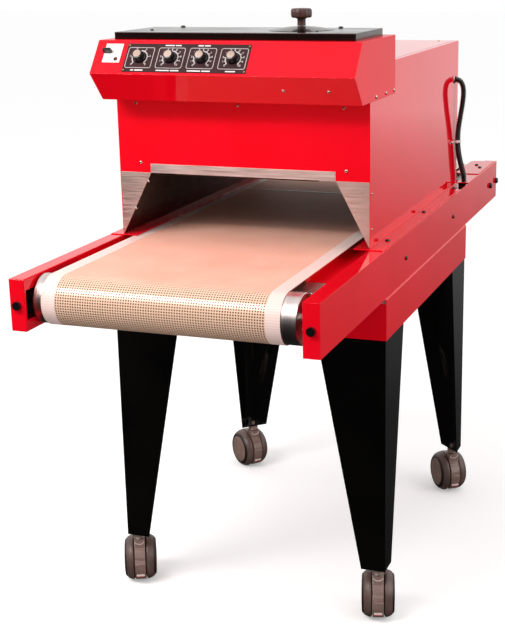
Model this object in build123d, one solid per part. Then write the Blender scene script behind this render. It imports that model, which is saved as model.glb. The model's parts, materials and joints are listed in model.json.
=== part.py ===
from build123d import *

import math
import os

# Rails and conveyor
rail_length = 1656.0
rail_span = 640.0
rail_height = 106.0
rail_width = 34.0
rail_wall = 2.5
rail_top_z = 872.0
rail_end_slot_length = 84.0
rail_end_slot_height = 60.0
rail_end_margin = 6.0
rail_top_slot_before = 88.0
rail_top_slot_after = 46.0
rail_top_slot_inset = 6.0

roller_radius = 50.0
roller_left_gap = 5.0
roller_right_gap = 19.0
roller_setback = 70.0
shaft_radius = 10.0
shaft_clearance = 0.05
bearing_length = 60.0
bearing_height = 54.0
tension_bolt_radius = 5.0
tension_head_radius = 8.5
tension_head_length = 7.0
tension_bolt_clearance = 0.2

belt_rail_gap = 37.0
belt_shift = -13.0
belt_thickness = 1.2
belt_clearance = 0.3
bed_sheet = 2.0
bed_table_inset = 34.0
bed_shelf_drop = 20.0
bed_flange = 20.0
bed_table_drop = 0.3
nose_plate_start = 146.0
nose_plate_length = 77.0

# Oven
oven_setback = 427.0
oven_length = 822.0
oven_side_inset = 32.0
oven_height = 377.0
oven_sheet = 1.5
oven_top_flange = 12.0
opening_height = 141.0
opening_top_inset = 75.0
lip_height = 20.0
ceiling_height = 26.0
heater_count = 4
heater_side_gap = 48.0
heater_length = 150.0
heater_thickness = 8.0

flange_sheet = 2.0
flange_outer_margin = 4.0
flange_inner_gap = 3.0
flange_overhang = 6.0

# Control console
console_sheet = 2.0
console_top_rise = 54.0
console_ridge_drop = 12.0
console_bottom_drop = 71.0
console_top_reach = 62.0
console_ridge_reach = 113.0
console_bottom_reach = 60.0
console_depth = 186.0

control_plate_width = 277.0
control_plate_height = 69.0
control_plate_sheet = 1.0
control_plate_inset = 73.0
control_plate_drop = 43.0
switch_plate_width = 40.0
switch_plate_height = 46.0
switch_plate_inset = 22.0
switch_plate_drop = 32.5
switch_lever_left = 14.0
switch_lever_drop = 30.0
lamp_right = 10.0
lamp_drop = 47.0
lamp_radius = 2.6
lamp_height = 2.0
dial_spacing = 69.7
dial_count = 4
dial_radius = 12.0
dial_height = 17.0
dial_skirt_radius = 13.5
dial_skirt_height = 3.0
dial_shaft_radius = 3.0
dial_gap = 0.3
lever_length = 18.0
lever_width = 7.0
lever_height = 11.0

# Damper on the roof of the console
tray_side_inset = 22.0
tray_height = 15.0
tray_sheet = 1.5
tray_front = -33.0
tray_depth = 196.0
damper_side_inset = 176.0
damper_y = 80.0
damper_radius = 70.0
damper_rise = 11.0
damper_knob_radius = 23.0
damper_knob_height = 20.0
damper_stem_radius = 9.0
damper_stem_height = 15.0
damper_spindle_radius = 5.0
damper_lobes = 6
damper_lobe_radius = 3.0

# Undercarriage
apron_sheet = 2.0
apron_proud = 1.0
apron_height = 92.0
apron_start = 3.0
apron_length = 794.0
apron_flange = 32.0
cross_apron_drop = 10.0
leg_sheet = 3.0
leg_foot_z = 130.0
leg_foot_width = 56.0
leg_foot_depth = 53.0
leg_apron_width = 157.0
leg_apron_depth = 149.0
leg_top_gap = 14.0

# Casters
wheel_radius = 54.0
wheel_width = 25.0
wheel_spacing = 27.0
wheel_round = 13.0
wheel_recess_radius = 38.0
wheel_recess_depth = 2.5
axle_radius = 5.0
axle_clearance = 0.05
hood_width = 25.0
hood_radius = 55.0
hood_floor_gap = 10.0
hood_top_z = 116.0
caster_trail = 25.0
stem_inset_x = 21.0
stem_inset_y = 18.5
stem_collar_radius = 13.0
stem_pin_radius = 5.0
stem_pin_clearance = 0.05
stem_pin_above = 8.0
stem_thrust_gap = 0.3
swivel_front_left = 25.0
swivel_front_right = 16.0
swivel_rear_left = 50.0
swivel_rear_right = 36.0

# Conduit on the right side of the oven
conduit_radius = 7.5
conduit_hole_clearance = 0.5
gland_radius = 10.0
gland_length = 3.0
entry_plate_start = 10.0
entry_plate_length = 113.0
cover_sheet = 2.0
drive_cover_gap = 33.0
drive_cover_end_gap = 23.0
drive_cover_reach = 36.0
drive_cover_corner = 22.0
connector_width = 10.0
connector_length = 9.0
connector_height = 24.0
connector_before = 45.0
connector_above = 7.0

nodes = {}


def block(x0, x1, y0, y1, z0, z1):
    size = (x1 - x0, y1 - y0, z1 - z0)
    middle = ((x0 + x1) / 2, (y0 + y1) / 2, (z0 + z1) / 2)
    return Pos(*middle) * Box(*size)


def along_x(points, x0, x1):
    # An outline in (y, z) drawn from x0 to x1
    outline = Plane.YZ.offset(x0) * Polygon(*points, align=None)
    return extrude(outline, amount=x1 - x0, dir=(1, 0, 0))


def along_y(points, y0, y1):
    # An outline in (x, z) drawn from y0 to y1
    plane = Plane(origin=(0, y0, 0), x_dir=(1, 0, 0), z_dir=(0, -1, 0))
    return extrude(plane * Polygon(*points, align=None), amount=y1 - y0, dir=(0, 1, 0))


def along_z(points, z0, z1):
    # An outline in (x, y) drawn from z0 to z1
    return extrude(Plane.XY.offset(z0) * Polygon(*points, align=None), amount=z1 - z0, dir=(0, 0, 1))


def bar_x(radius, x0, x1, y, z):
    return Pos((x0 + x1) / 2, y, z) * Rot(0, 90, 0) * Cylinder(radius, x1 - x0)


def bar_y(radius, y0, y1, x, z):
    return Pos(x, (y0 + y1) / 2, z) * Rot(90, 0, 0) * Cylinder(radius, y1 - y0)


def bar_z(radius, z0, z1, x, y):
    return Pos(x, y, (z0 + z1) / 2) * Cylinder(radius, z1 - z0)


def mirrored(shape):
    return mirror(shape, about=Plane.YZ)


def both_sides(shape):
    return [shape, mirrored(shape)]


# How far a cut reaches past the face it opens
cut_margin = 1.0

# Places worked out from the sizes above
rail_outer = rail_span / 2
rail_inner = rail_outer - rail_width
rail_middle_x = rail_inner + rail_width / 2
rail_bottom_z = rail_top_z - rail_height
rail_front = -rail_length / 2
rail_rear = rail_length / 2
roller_z = rail_top_z - rail_height / 2
roller_left = -rail_inner + roller_left_gap
roller_right = rail_inner - roller_right_gap
roller_front_y = rail_front + roller_setback
roller_rear_y = rail_rear - roller_setback
belt_half = rail_inner - belt_rail_gap
belt_left = belt_shift - belt_half
belt_right = belt_shift + belt_half
belt_inner = roller_radius + belt_clearance
belt_outer = belt_inner + belt_thickness
belt_under_z = roller_z + belt_inner
oven_front = rail_front + oven_setback
oven_rear = oven_front + oven_length
oven_half = rail_outer - oven_side_inset
oven_inner = oven_half - oven_sheet
opening_half = oven_half - opening_top_inset
heater_half = opening_half - heater_side_gap
oven_base_z = rail_top_z + flange_sheet
oven_top_z = oven_base_z + oven_height
opening_top_z = oven_base_z + opening_height
console_front = oven_front
console_top_z = oven_top_z + console_top_rise
console_ridge_z = oven_top_z - console_ridge_drop
console_bottom_z = oven_top_z - console_bottom_drop
console_half = oven_half + console_sheet
control_plate_left = control_plate_inset - console_half
switch_plate_left = switch_plate_inset - console_half
tray_half = console_half - tray_side_inset
damper_x = console_half - damper_side_inset
apron_outer = rail_outer + apron_proud + apron_sheet
apron_inner = apron_outer - apron_sheet
apron_front = oven_front + apron_start
apron_rear = apron_front + apron_length
apron_bottom_z = rail_bottom_z - apron_height
cross_top_z = rail_bottom_z - cross_apron_drop
leg_corner_y = apron_front + apron_sheet
leg_rear_corner_y = apron_rear - apron_sheet
stem_x = apron_inner - stem_inset_x
stem_front_y = leg_corner_y + stem_inset_y
stem_rear_y = leg_rear_corner_y - stem_inset_y
damper_seat_z = console_top_z + tray_height
damper_seat_y = console_front + damper_y
nose_front_y = rail_front + nose_plate_start
bed_front_y = nose_front_y + nose_plate_length
bed_half = belt_half - bed_table_inset
bed_table_z = belt_under_z - bed_table_drop
bed_shelf_z = bed_table_z - bed_shelf_drop
dial_first_x = control_plate_left + (control_plate_width - dial_spacing * (dial_count - 1)) / 2
lever_x = switch_plate_left + switch_lever_left
lamp_x = switch_plate_left + switch_plate_width - lamp_right
spindle_bore = damper_spindle_radius + shaft_clearance

# The sloping face of the console: local x runs to the right and local y up the slope
slope_y = console_ridge_reach - console_top_reach
slope_z = console_top_z - console_ridge_z
console_face = Plane(
    origin=(0, console_front - console_top_reach, console_top_z),
    x_dir=(1, 0, 0),
    z_dir=(0, -slope_z, slope_y),
)


def on_face(shape, x, drop, rise=0.0):
    return console_face * Pos(x, -drop, rise) * shape


def rail(with_top_slot):
    # The right rail: a closed folded box with slots for the shafts
    skin = block(rail_inner, rail_outer, rail_front, rail_rear, rail_bottom_z, rail_top_z)
    inside = block(
        rail_inner + rail_wall,
        rail_outer - rail_wall,
        rail_front + rail_wall,
        rail_rear - rail_wall,
        rail_bottom_z + rail_wall,
        rail_top_z - rail_wall,
    )
    beam = skin - inside
    slot_low = roller_z - rail_end_slot_height / 2
    slot_high = roller_z + rail_end_slot_height / 2
    bolt_hole = tension_bolt_radius + tension_bolt_clearance
    for end in (-1, 1):
        near = end * (rail_length / 2 - rail_end_margin)
        far = near - end * rail_end_slot_length
        low_y = min(near, far)
        high_y = max(near, far)
        beam -= block(rail_inner - cut_margin, rail_inner + rail_wall, low_y, high_y, slot_low, slot_high)
        end_y = end * rail_length / 2
        beam -= bar_y(bolt_hole, end_y - 2 * rail_wall, end_y + 2 * rail_wall, rail_middle_x, roller_z)
    if with_top_slot:
        beam -= block(
            rail_inner + rail_top_slot_inset,
            rail_outer - rail_wall,
            oven_rear - rail_top_slot_before,
            oven_rear + rail_top_slot_after,
            rail_top_z - rail_wall,
            rail_top_z + cut_margin,
        )
    return beam


def roller(y):
    # The tube sits off centre, where the belt runs
    drum = bar_x(roller_radius, roller_left, roller_right, y, roller_z)
    shaft_reach = rail_outer - 2 * rail_wall
    return drum + bar_x(shaft_radius, -shaft_reach, shaft_reach, y, roller_z)


def shaft_bearing(y):
    body = block(
        rail_inner + rail_wall,
        rail_outer - rail_wall,
        y - bearing_length / 2,
        y + bearing_length / 2,
        roller_z - bearing_height / 2,
        roller_z + bearing_height / 2,
    )
    bore = shaft_radius + shaft_clearance
    return body - bar_x(bore, rail_inner, rail_outer, y, roller_z)


def tension_bolt(end):
    face_y = end * rail_length / 2
    tip_y = face_y - end * (roller_setback - bearing_length / 2)
    head_y = face_y + end * tension_head_length
    shank = bar_y(tension_bolt_radius, min(face_y, tip_y), max(face_y, tip_y), rail_middle_x, roller_z)
    head = bar_y(tension_head_radius, min(face_y, head_y), max(face_y, head_y), rail_middle_x, roller_z)
    return shank + head


def belt_outline(radius, x0, x1):
    span = block(x0, x1, roller_front_y, roller_rear_y, roller_z - radius, roller_z + radius)
    front = bar_x(radius, x0, x1, roller_front_y, roller_z)
    rear = bar_x(radius, x0, x1, roller_rear_y, roller_z)
    return span + front + rear


def conveyor_belt():
    inside = belt_outline(belt_inner, belt_left - cut_margin, belt_right + cut_margin)
    return belt_outline(belt_outer, belt_left, belt_right) - inside


def belt_bed():
    # A folded table under the upper run, with a lower shelf at each side
    y0 = bed_front_y
    y1 = -bed_front_y
    half = bed_half
    bed = block(-half, half, y0, y1, bed_table_z - bed_sheet, bed_table_z)
    shelf_low = bed_shelf_z - bed_sheet
    edge = block(half - bed_sheet, half, y0, y1, shelf_low, bed_table_z)
    edge += block(half - bed_sheet, rail_inner, y0, y1, shelf_low, bed_shelf_z)
    edge += block(rail_inner - bed_sheet, rail_inner, y0, y1, shelf_low - bed_flange, bed_shelf_z)
    return bed + edge + mirrored(edge)


def nose_plate():
    top = block(-rail_inner, rail_inner, nose_front_y, bed_front_y, bed_shelf_z - bed_sheet, bed_shelf_z)
    lip_low = bed_shelf_z - bed_flange
    lip = block(-rail_inner, rail_inner, nose_front_y, nose_front_y + bed_sheet, lip_low, bed_shelf_z)
    return top + lip


def end_plane_panels(front_face, inward):
    # The panel over an opening, its bright lip and the two triangles beside it
    back_face = front_face + inward * oven_sheet
    lip_face = front_face - inward * oven_sheet
    y0, y1 = sorted((front_face, back_face))
    panel_top = oven_top_z - oven_sheet
    panel = block(-oven_inner, oven_inner, y0, y1, opening_top_z, panel_top)
    half = opening_half
    triangle = [(half, opening_top_z), (oven_inner, opening_top_z), (oven_inner, oven_base_z)]
    triangles = both_sides(along_y(triangle, y0, y1))
    y2, y3 = sorted((front_face, lip_face))
    lip = block(-half, half, y2, y3, opening_top_z, opening_top_z + lip_height)
    return panel, triangles, lip


def oven_side():
    wall = block(oven_inner, oven_half, oven_front, oven_rear, oven_base_z, oven_top_z)
    top_low = oven_top_z - oven_sheet
    inner = oven_half - oven_top_flange
    return wall + block(inner, oven_half, oven_front, oven_rear, top_low, oven_top_z)


def oven_lid():
    half = oven_half - oven_top_flange
    return block(-half, half, oven_front, oven_rear, oven_top_z - oven_sheet, oven_top_z)


def reflector():
    # The sloping bright wall of the tunnel, from the ceiling down to its foot
    half = opening_half
    run = oven_inner - half
    drop = opening_top_z - oven_base_z
    slant = math.hypot(run, drop)
    points = [
        (half, opening_top_z),
        (half + oven_sheet * slant / drop, opening_top_z),
        (oven_inner, oven_base_z + oven_sheet * slant / run),
        (oven_inner, oven_base_z),
    ]
    return along_y(points, oven_front + oven_sheet, oven_rear - oven_sheet)


def tunnel_ceiling():
    half = opening_half
    y0 = oven_front + oven_sheet
    y1 = oven_rear - oven_sheet
    return block(-half, half, y0, y1, opening_top_z, opening_top_z + ceiling_height)


def infrared_panels():
    pitch = oven_length / heater_count
    panels = []
    for index in range(heater_count):
        y = oven_front + pitch * (index + 0.5)
        half = heater_length / 2
        side = heater_half
        panels.append(block(-side, side, y - half, y + half, opening_top_z - heater_thickness, opening_top_z))
    return panels


def base_flange(with_notch):
    inner = belt_half + flange_inner_gap
    outer = rail_outer - flange_outer_margin
    y0 = oven_front - flange_overhang
    y1 = oven_rear + flange_overhang
    plate = block(inner, outer, y0, y1, rail_top_z, oven_base_z)
    if with_notch:
        notch_y = oven_rear - rail_top_slot_before
        plate -= block(
            oven_half,
            outer + cut_margin,
            notch_y,
            y1 + cut_margin,
            rail_top_z - cut_margin,
            oven_base_z + cut_margin,
        )
    return plate


def console_outline():
    return [
        (console_front - console_top_reach, console_top_z),
        (console_front - console_ridge_reach, console_ridge_z),
        (console_front - console_bottom_reach, console_bottom_z),
        (console_front + console_depth, console_bottom_z),
        (console_front + console_depth, console_top_z),
    ]


def control_console():
    outer = Polygon(*console_outline(), align=None)
    inner = offset(outer, amount=-console_sheet, kind=Kind.INTERSECTION)
    across = (1, 0, 0)
    shell = extrude(Plane.YZ.offset(-console_half) * outer, amount=2 * console_half, dir=across)
    shell -= extrude(Plane.YZ.offset(-oven_half) * inner, amount=2 * oven_half, dir=across)
    behind = console_front + console_depth + cut_margin
    shell -= block(-oven_half, oven_half, oven_front, behind, console_bottom_z - cut_margin, oven_top_z)
    for index in range(dial_count):
        x = dial_first_x + index * dial_spacing
        shell -= on_face(shaft_hole(console_sheet), x, control_plate_drop, 0)
    shell -= on_face(shaft_hole(console_sheet), lever_x, switch_lever_drop, 0)
    low = console_top_z - 2 * console_sheet
    shell -= bar_z(spindle_bore, low, console_top_z + cut_margin, damper_x, damper_seat_y)
    return shell


def shaft_hole(sheet):
    return Cylinder(dial_shaft_radius + shaft_clearance, 4 * sheet)


def control_plate():
    x = control_plate_left + control_plate_width / 2
    sheet = control_plate_sheet
    plate = Box(control_plate_width, control_plate_height, sheet)
    plate = on_face(plate, x, control_plate_drop, sheet / 2)
    for index in range(dial_count):
        hole_x = dial_first_x + index * dial_spacing
        plate -= on_face(shaft_hole(console_sheet), hole_x, control_plate_drop)
    return plate


def switch_plate():
    x = switch_plate_left + switch_plate_width / 2
    sheet = control_plate_sheet
    plate = on_face(Box(switch_plate_width, switch_plate_height, sheet), x, switch_plate_drop, sheet / 2)
    return plate - on_face(shaft_hole(console_sheet), lever_x, switch_lever_drop)


def pilot_lamp():
    lamp = Cylinder(lamp_radius, lamp_height)
    return on_face(lamp, lamp_x, lamp_drop, control_plate_sheet + lamp_height / 2)


def dial_knob(x):
    base = control_plate_sheet + dial_gap
    skirt = Pos(0, 0, base + dial_skirt_height / 2) * Cylinder(dial_skirt_radius, dial_skirt_height)
    grip = Pos(0, 0, base + dial_height / 2) * Cylinder(dial_radius, dial_height)
    reach = 3 * console_sheet
    shaft = Pos(0, 0, base - reach / 2) * Cylinder(dial_shaft_radius, reach)
    return on_face(skirt + grip + shaft, x, control_plate_drop)


def switch_lever():
    # A pointer handle that lies to the left and turns about the face's normal
    base = control_plate_sheet + dial_gap
    tail = lever_width / 2
    bar = Pos(tail - lever_length / 2, 0, base + lever_height / 2) * Box(lever_length, lever_width, lever_height)
    reach = 3 * console_sheet
    shaft = Pos(0, 0, base - reach / 2) * Cylinder(dial_shaft_radius, reach)
    return on_face(bar + shaft, lever_x, switch_lever_drop)


def damper_tray():
    half = tray_half
    y0 = console_front + tray_front
    y1 = y0 + tray_depth
    sheet = tray_sheet
    tray = block(-half, half, y0, y1, console_top_z, damper_seat_z)
    tray -= block(
        -half + sheet,
        half - sheet,
        y0 + sheet,
        y1 - sheet,
        console_top_z - cut_margin,
        damper_seat_z - sheet,
    )
    return tray - bar_z(spindle_bore, console_top_z, damper_seat_z + cut_margin, damper_x, damper_seat_y)


def damper_cap():
    # A shallow dome, the slice of a large sphere
    sphere_radius = (damper_radius ** 2 + damper_rise ** 2) / (2 * damper_rise)
    ball = Pos(damper_x, damper_seat_y, damper_seat_z + damper_rise - sphere_radius) * Sphere(sphere_radius)
    reach = 2 * damper_radius
    above = block(
        damper_x - reach,
        damper_x + reach,
        damper_seat_y - reach,
        damper_seat_y + reach,
        damper_seat_z,
        damper_seat_z + 2 * damper_rise,
    )
    low = damper_seat_z - cut_margin
    return (ball & above) - bar_z(spindle_bore, low, damper_seat_z + 2 * damper_rise, damper_x, damper_seat_y)


def damper_knob():
    stem_low = damper_seat_z + damper_rise + dial_gap
    grip_low = stem_low + damper_stem_height
    grip_high = grip_low + damper_knob_height
    knob = bar_z(damper_knob_radius, grip_low, grip_high, damper_x, damper_seat_y)
    for index in range(damper_lobes):
        angle = math.tau * index / damper_lobes
        x = damper_x + (damper_knob_radius + damper_lobe_radius / 2) * math.cos(angle)
        y = damper_seat_y + (damper_knob_radius + damper_lobe_radius / 2) * math.sin(angle)
        knob -= bar_z(damper_lobe_radius, grip_low - cut_margin, grip_high + cut_margin, x, y)
    knob += bar_z(damper_stem_radius, stem_low, grip_low, damper_x, damper_seat_y)
    spindle_low = console_top_z - 3 * console_sheet
    return knob + bar_z(damper_spindle_radius, spindle_low, stem_low, damper_x, damper_seat_y)


def side_apron():
    skirt = block(apron_inner, apron_outer, apron_front, apron_rear, apron_bottom_z, rail_bottom_z)
    low = rail_bottom_z - apron_sheet
    inner = apron_outer - apron_flange
    return skirt + block(inner, apron_outer, apron_front, apron_rear, low, rail_bottom_z)


def cross_apron(face_y, inward):
    y0, y1 = sorted((face_y, face_y + inward * apron_sheet))
    sheet = block(-apron_inner, apron_inner, y0, y1, apron_bottom_z, cross_top_z)
    y2, y3 = sorted((face_y, face_y + inward * apron_flange))
    half = apron_inner - leg_sheet
    low = cross_top_z - apron_sheet
    return sheet + block(-half, half, y2, y3, low, cross_top_z)


def leg(corner_y, inward):
    # The right leg of a pair: two tapering wings on a small foot plate
    top_z = cross_top_z - leg_top_gap + apron_sheet
    rise = (top_z - leg_foot_z) / (apron_bottom_z - leg_foot_z)
    top_width = leg_foot_width + (leg_apron_width - leg_foot_width) * rise
    top_depth = leg_foot_depth + (leg_apron_depth - leg_foot_depth) * rise
    cross_wing = [
        (apron_inner, leg_foot_z),
        (apron_inner - leg_foot_width, leg_foot_z),
        (apron_inner - top_width, top_z),
        (apron_inner, top_z),
    ]
    y0, y1 = sorted((corner_y, corner_y + inward * leg_sheet))
    wing = along_y(cross_wing, y0, y1)
    side_wing = [
        (corner_y, leg_foot_z),
        (corner_y + inward * leg_foot_depth, leg_foot_z),
        (corner_y + inward * top_depth, top_z),
        (corner_y, top_z),
    ]
    body = wing + along_x(side_wing, apron_inner - leg_sheet, apron_inner)
    foot = [
        (apron_inner, corner_y),
        (apron_inner - leg_foot_width, corner_y),
        (apron_inner, corner_y + inward * leg_foot_depth),
    ]
    plate = along_z(foot, leg_foot_z, leg_foot_z + leg_sheet)
    stem_y = corner_y + inward * stem_inset_y
    hole = stem_pin_radius + stem_pin_clearance
    low = leg_foot_z - cut_margin
    high = leg_foot_z + leg_sheet + cut_margin
    return body + plate - bar_z(hole, low, high, stem_x, stem_y)


def caster_hood():
    # The web between the two wheels, with its collar and stem; the stem is at the local origin
    half = hood_width / 2
    web = bar_x(hood_radius, -half, half, caster_trail, wheel_radius)
    reach = 2 * hood_radius
    web -= block(-reach, reach, -reach, reach + caster_trail, -reach, hood_floor_gap)
    neck = block(-half, half, -stem_collar_radius, stem_collar_radius, wheel_radius, hood_top_z)
    body = web + neck
    body += bar_z(stem_collar_radius, hood_top_z, leg_foot_z - stem_thrust_gap, 0, 0)
    body += bar_z(stem_pin_radius, hood_top_z, leg_foot_z + leg_sheet + stem_pin_above, 0, 0)
    bore = axle_radius + axle_clearance
    return body - bar_x(bore, -half - cut_margin, half + cut_margin, caster_trail, wheel_radius)


def caster_wheels():
    inner = wheel_spacing / 2
    tyre = Pos(inner + wheel_width / 2, 0, 0) * Rot(0, 90, 0) * Cylinder(wheel_radius, wheel_width)
    rim = tyre.edges().filter_by(GeomType.CIRCLE).sort_by(Axis.X)
    tyre = fillet(rim[-1], radius=wheel_round)
    recess_x = inner + wheel_width - wheel_recess_depth / 2
    tyre -= Pos(recess_x, 0, 0) * Rot(0, 90, 0) * Cylinder(wheel_recess_radius, wheel_recess_depth)
    axle = Rot(0, 90, 0) * Cylinder(axle_radius, 2 * (inner + wheel_width - wheel_recess_depth))
    pair = tyre + mirrored(tyre) + axle
    return Pos(0, caster_trail, wheel_radius) * pair


def entry_plate():
    # A small cover on the right rail behind the oven, with the hole for the conduit
    y0 = oven_rear + entry_plate_start
    plate = block(rail_inner, rail_outer, y0, y0 + entry_plate_length, rail_top_z, rail_top_z + cover_sheet)
    hole = conduit_radius + conduit_hole_clearance
    end = conduit_route[-1]
    return plate - bar_z(hole, rail_top_z - cut_margin, rail_top_z + 2 * cover_sheet, end[0], end[1])


def drive_cover():
    inner = rail_inner - drive_cover_reach
    outer = rail_outer - flange_outer_margin
    y0 = oven_rear + entry_plate_start + entry_plate_length + drive_cover_gap
    y1 = rail_rear - drive_cover_end_gap
    plate = block(inner, outer, y0, y1, rail_top_z, rail_top_z + cover_sheet)
    corners = plate.edges().filter_by(Axis.Z).group_by(Axis.X)[0]
    return fillet(corners, radius=drive_cover_corner)


def wire_connector():
    x0 = rail_inner + rail_top_slot_inset
    y0 = oven_rear - connector_before
    top = rail_top_z + connector_above
    return block(x0, x0 + connector_width, y0, y0 + connector_length, top - connector_height, top)


# The conduit leaves the side of the oven, hangs down beside it and goes into the rail
# Each point is the distance out from the oven's side, the distance before its rear face,
# and the height above the rails
conduit_turns = [
    (0.0, 41.0, 282.0),
    (12.0, 41.0, 282.0),
    (22.0, 42.0, 270.0),
    (25.0, 41.0, 249.0),
    (22.5, 41.0, 220.0),
    (17.0, 42.5, 184.0),
    (11.5, 42.5, 146.0),
    (9.5, 34.0, 108.0),
    (11.0, 17.0, 73.0),
    (13.5, -6.0, 42.0),
    (15.0, -28.0, 14.0),
    (15.0, -28.0, -12.0),
]
conduit_route = [(oven_half + out, oven_rear - before, rail_top_z + up) for out, before, up in conduit_turns]


def conduit_path():
    points = [Vector(*point) for point in conduit_route]
    radii = []
    for before, here, after in zip(points, points[1:], points[2:]):
        turn = (here - before).get_angle(after - here)
        shorter = min((here - before).length, (after - here).length)
        radii.append(0.45 * shorter / math.tan(math.radians(turn / 2)))
    print("conduit radii", [round(radius, 1) for radius in radii])
    return FilletPolyline(*points, radius=radii)


def conduit():
    path = conduit_path()
    section = Plane(origin=path @ 0, z_dir=path % 0) * Circle(conduit_radius)
    tube = sweep(section, path=path)
    share = tube.volume / (math.pi * conduit_radius ** 2 * path.length)
    print("conduit length", round(path.length, 1), "volume share", round(share, 4))
    return tube


def conduit_gland():
    start = conduit_route[0]
    ring = bar_x(gland_radius, oven_half, oven_half + gland_length, start[1], start[2])
    hole = conduit_radius + conduit_hole_clearance
    outer = oven_half + gland_length + cut_margin
    return ring - bar_x(hole, oven_half - cut_margin, outer, start[1], start[2])


def build_conveyor():
    nodes["rail_right"] = rail(True)
    nodes["rail_left"] = mirrored(rail(False))
    nodes["infeed_roller"] = roller(roller_front_y)
    nodes["drive_roller"] = roller(roller_rear_y)
    bearings = []
    bolts = []
    for y in (roller_front_y, roller_rear_y):
        bearings += both_sides(shaft_bearing(y))
    for end in (-1, 1):
        bolts += both_sides(tension_bolt(end))
    nodes["shaft_bearings"] = Compound(bearings)
    nodes["tension_bolts"] = Compound(bolts)
    nodes["conveyor_belt"] = conveyor_belt()
    nodes["belt_bed"] = belt_bed()
    nodes["nose_plates"] = Compound([nose_plate(), mirror(nose_plate(), about=Plane.XZ)])


def build_oven():
    lips = []
    for name, face, inward in (("infeed", oven_front, 1), ("outfeed", oven_rear, -1)):
        panel, triangles, lip = end_plane_panels(face, inward)
        nodes["oven_" + name + "_panel"] = panel
        nodes[name + "_end_plates"] = Compound(triangles)
        lips.append(lip)
    nodes["opening_lips"] = Compound(lips)
    nodes["oven_side_right"] = oven_side()
    nodes["oven_side_left"] = mirrored(oven_side())
    nodes["oven_lid"] = oven_lid()
    nodes["reflector_right"] = reflector()
    nodes["reflector_left"] = mirrored(reflector())
    nodes["tunnel_ceiling"] = tunnel_ceiling()
    nodes["infrared_panels"] = Compound(infrared_panels())
    nodes["base_flange_right"] = base_flange(True)
    nodes["base_flange_left"] = mirrored(base_flange(False))


def build_console():
    nodes["control_console"] = control_console()
    nodes["control_plate"] = control_plate()
    nodes["switch_plate"] = switch_plate()
    nodes["pilot_lamp"] = pilot_lamp()
    nodes["switch_lever"] = switch_lever()
    for index in range(dial_count):
        nodes["dial_" + str(index + 1)] = dial_knob(dial_first_x + index * dial_spacing)
    nodes["damper_tray"] = damper_tray()
    nodes["damper_cap"] = damper_cap()
    nodes["damper_knob"] = damper_knob()


def build_undercarriage():
    nodes["apron_right"] = side_apron()
    nodes["apron_left"] = mirrored(side_apron())
    nodes["apron_front"] = cross_apron(apron_front, 1)
    nodes["apron_rear"] = cross_apron(apron_rear, -1)
    nodes["leg_front_right"] = leg(leg_corner_y, 1)
    nodes["leg_front_left"] = mirrored(leg(leg_corner_y, 1))
    nodes["leg_rear_right"] = leg(leg_rear_corner_y, -1)
    nodes["leg_rear_left"] = mirrored(leg(leg_rear_corner_y, -1))
    stems = (
        ("front_left", -stem_x, stem_front_y, swivel_front_left),
        ("front_right", stem_x, stem_front_y, swivel_front_right),
        ("rear_left", -stem_x, stem_rear_y, swivel_rear_left),
        ("rear_right", stem_x, stem_rear_y, swivel_rear_right),
    )
    for name, x, y, angle in stems:
        place = Pos(x, y, 0) * Rot(0, 0, angle)
        nodes["caster_hood_" + name] = place * caster_hood()
        nodes["caster_wheels_" + name] = place * caster_wheels()


def build_wiring():
    nodes["conduit"] = conduit()
    nodes["conduit_gland"] = conduit_gland()
    nodes["wire_connector"] = wire_connector()
    nodes["entry_plate"] = entry_plate()
    nodes["drive_cover"] = drive_cover()


build_conveyor()
build_oven()
build_console()
build_undercarriage()
build_wiring()

# The origin is on the floor, under the middle of everything that stands there
boxes = [shape.bounding_box() for shape in nodes.values()]
middle_x = (min(box.min.X for box in boxes) + max(box.max.X for box in boxes)) / 2
middle_y = (min(box.min.Y for box in boxes) + max(box.max.Y for box in boxes)) / 2
print("middle", round(middle_x, 4), round(middle_y, 4))
os.makedirs("parts", exist_ok=True)
for name, shape in nodes.items():
    export_step(shape.moved(Location((-middle_x, -middle_y, 0))), "parts/" + name + ".step")
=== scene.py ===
import bmesh
import bpy
import json
import math
from mathutils import Matrix, Vector


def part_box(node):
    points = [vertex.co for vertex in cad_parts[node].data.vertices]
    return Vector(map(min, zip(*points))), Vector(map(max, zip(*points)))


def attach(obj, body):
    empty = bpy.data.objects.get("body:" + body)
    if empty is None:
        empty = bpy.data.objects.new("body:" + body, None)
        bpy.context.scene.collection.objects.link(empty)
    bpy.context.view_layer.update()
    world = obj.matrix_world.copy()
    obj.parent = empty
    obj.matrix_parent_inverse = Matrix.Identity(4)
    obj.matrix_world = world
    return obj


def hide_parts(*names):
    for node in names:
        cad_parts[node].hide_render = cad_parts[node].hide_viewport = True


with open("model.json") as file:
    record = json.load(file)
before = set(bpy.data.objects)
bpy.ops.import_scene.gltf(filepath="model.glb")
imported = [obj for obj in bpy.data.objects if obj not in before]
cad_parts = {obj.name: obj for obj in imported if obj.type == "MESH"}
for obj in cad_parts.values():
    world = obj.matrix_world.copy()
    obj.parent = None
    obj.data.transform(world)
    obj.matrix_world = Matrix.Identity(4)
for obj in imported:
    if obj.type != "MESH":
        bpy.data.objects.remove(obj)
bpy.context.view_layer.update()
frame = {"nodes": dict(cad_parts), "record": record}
nodes = frame["nodes"]
mm = 0.001
root = "machine"

# Places read from the frame, in metres
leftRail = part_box("rail_left")
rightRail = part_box("rail_right")
middleX = (leftRail[0].x + rightRail[1].x) / 2
railTop = rightRail[1].z
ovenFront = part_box("oven_side_right")[0].y
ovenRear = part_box("oven_side_right")[1].y
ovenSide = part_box("oven_side_right")[1].x - middleX
rollerAxis = abs(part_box("infeed_roller")[0].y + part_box("infeed_roller")[1].y) / 2
print("frame: %d nodes" % len(nodes))


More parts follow.
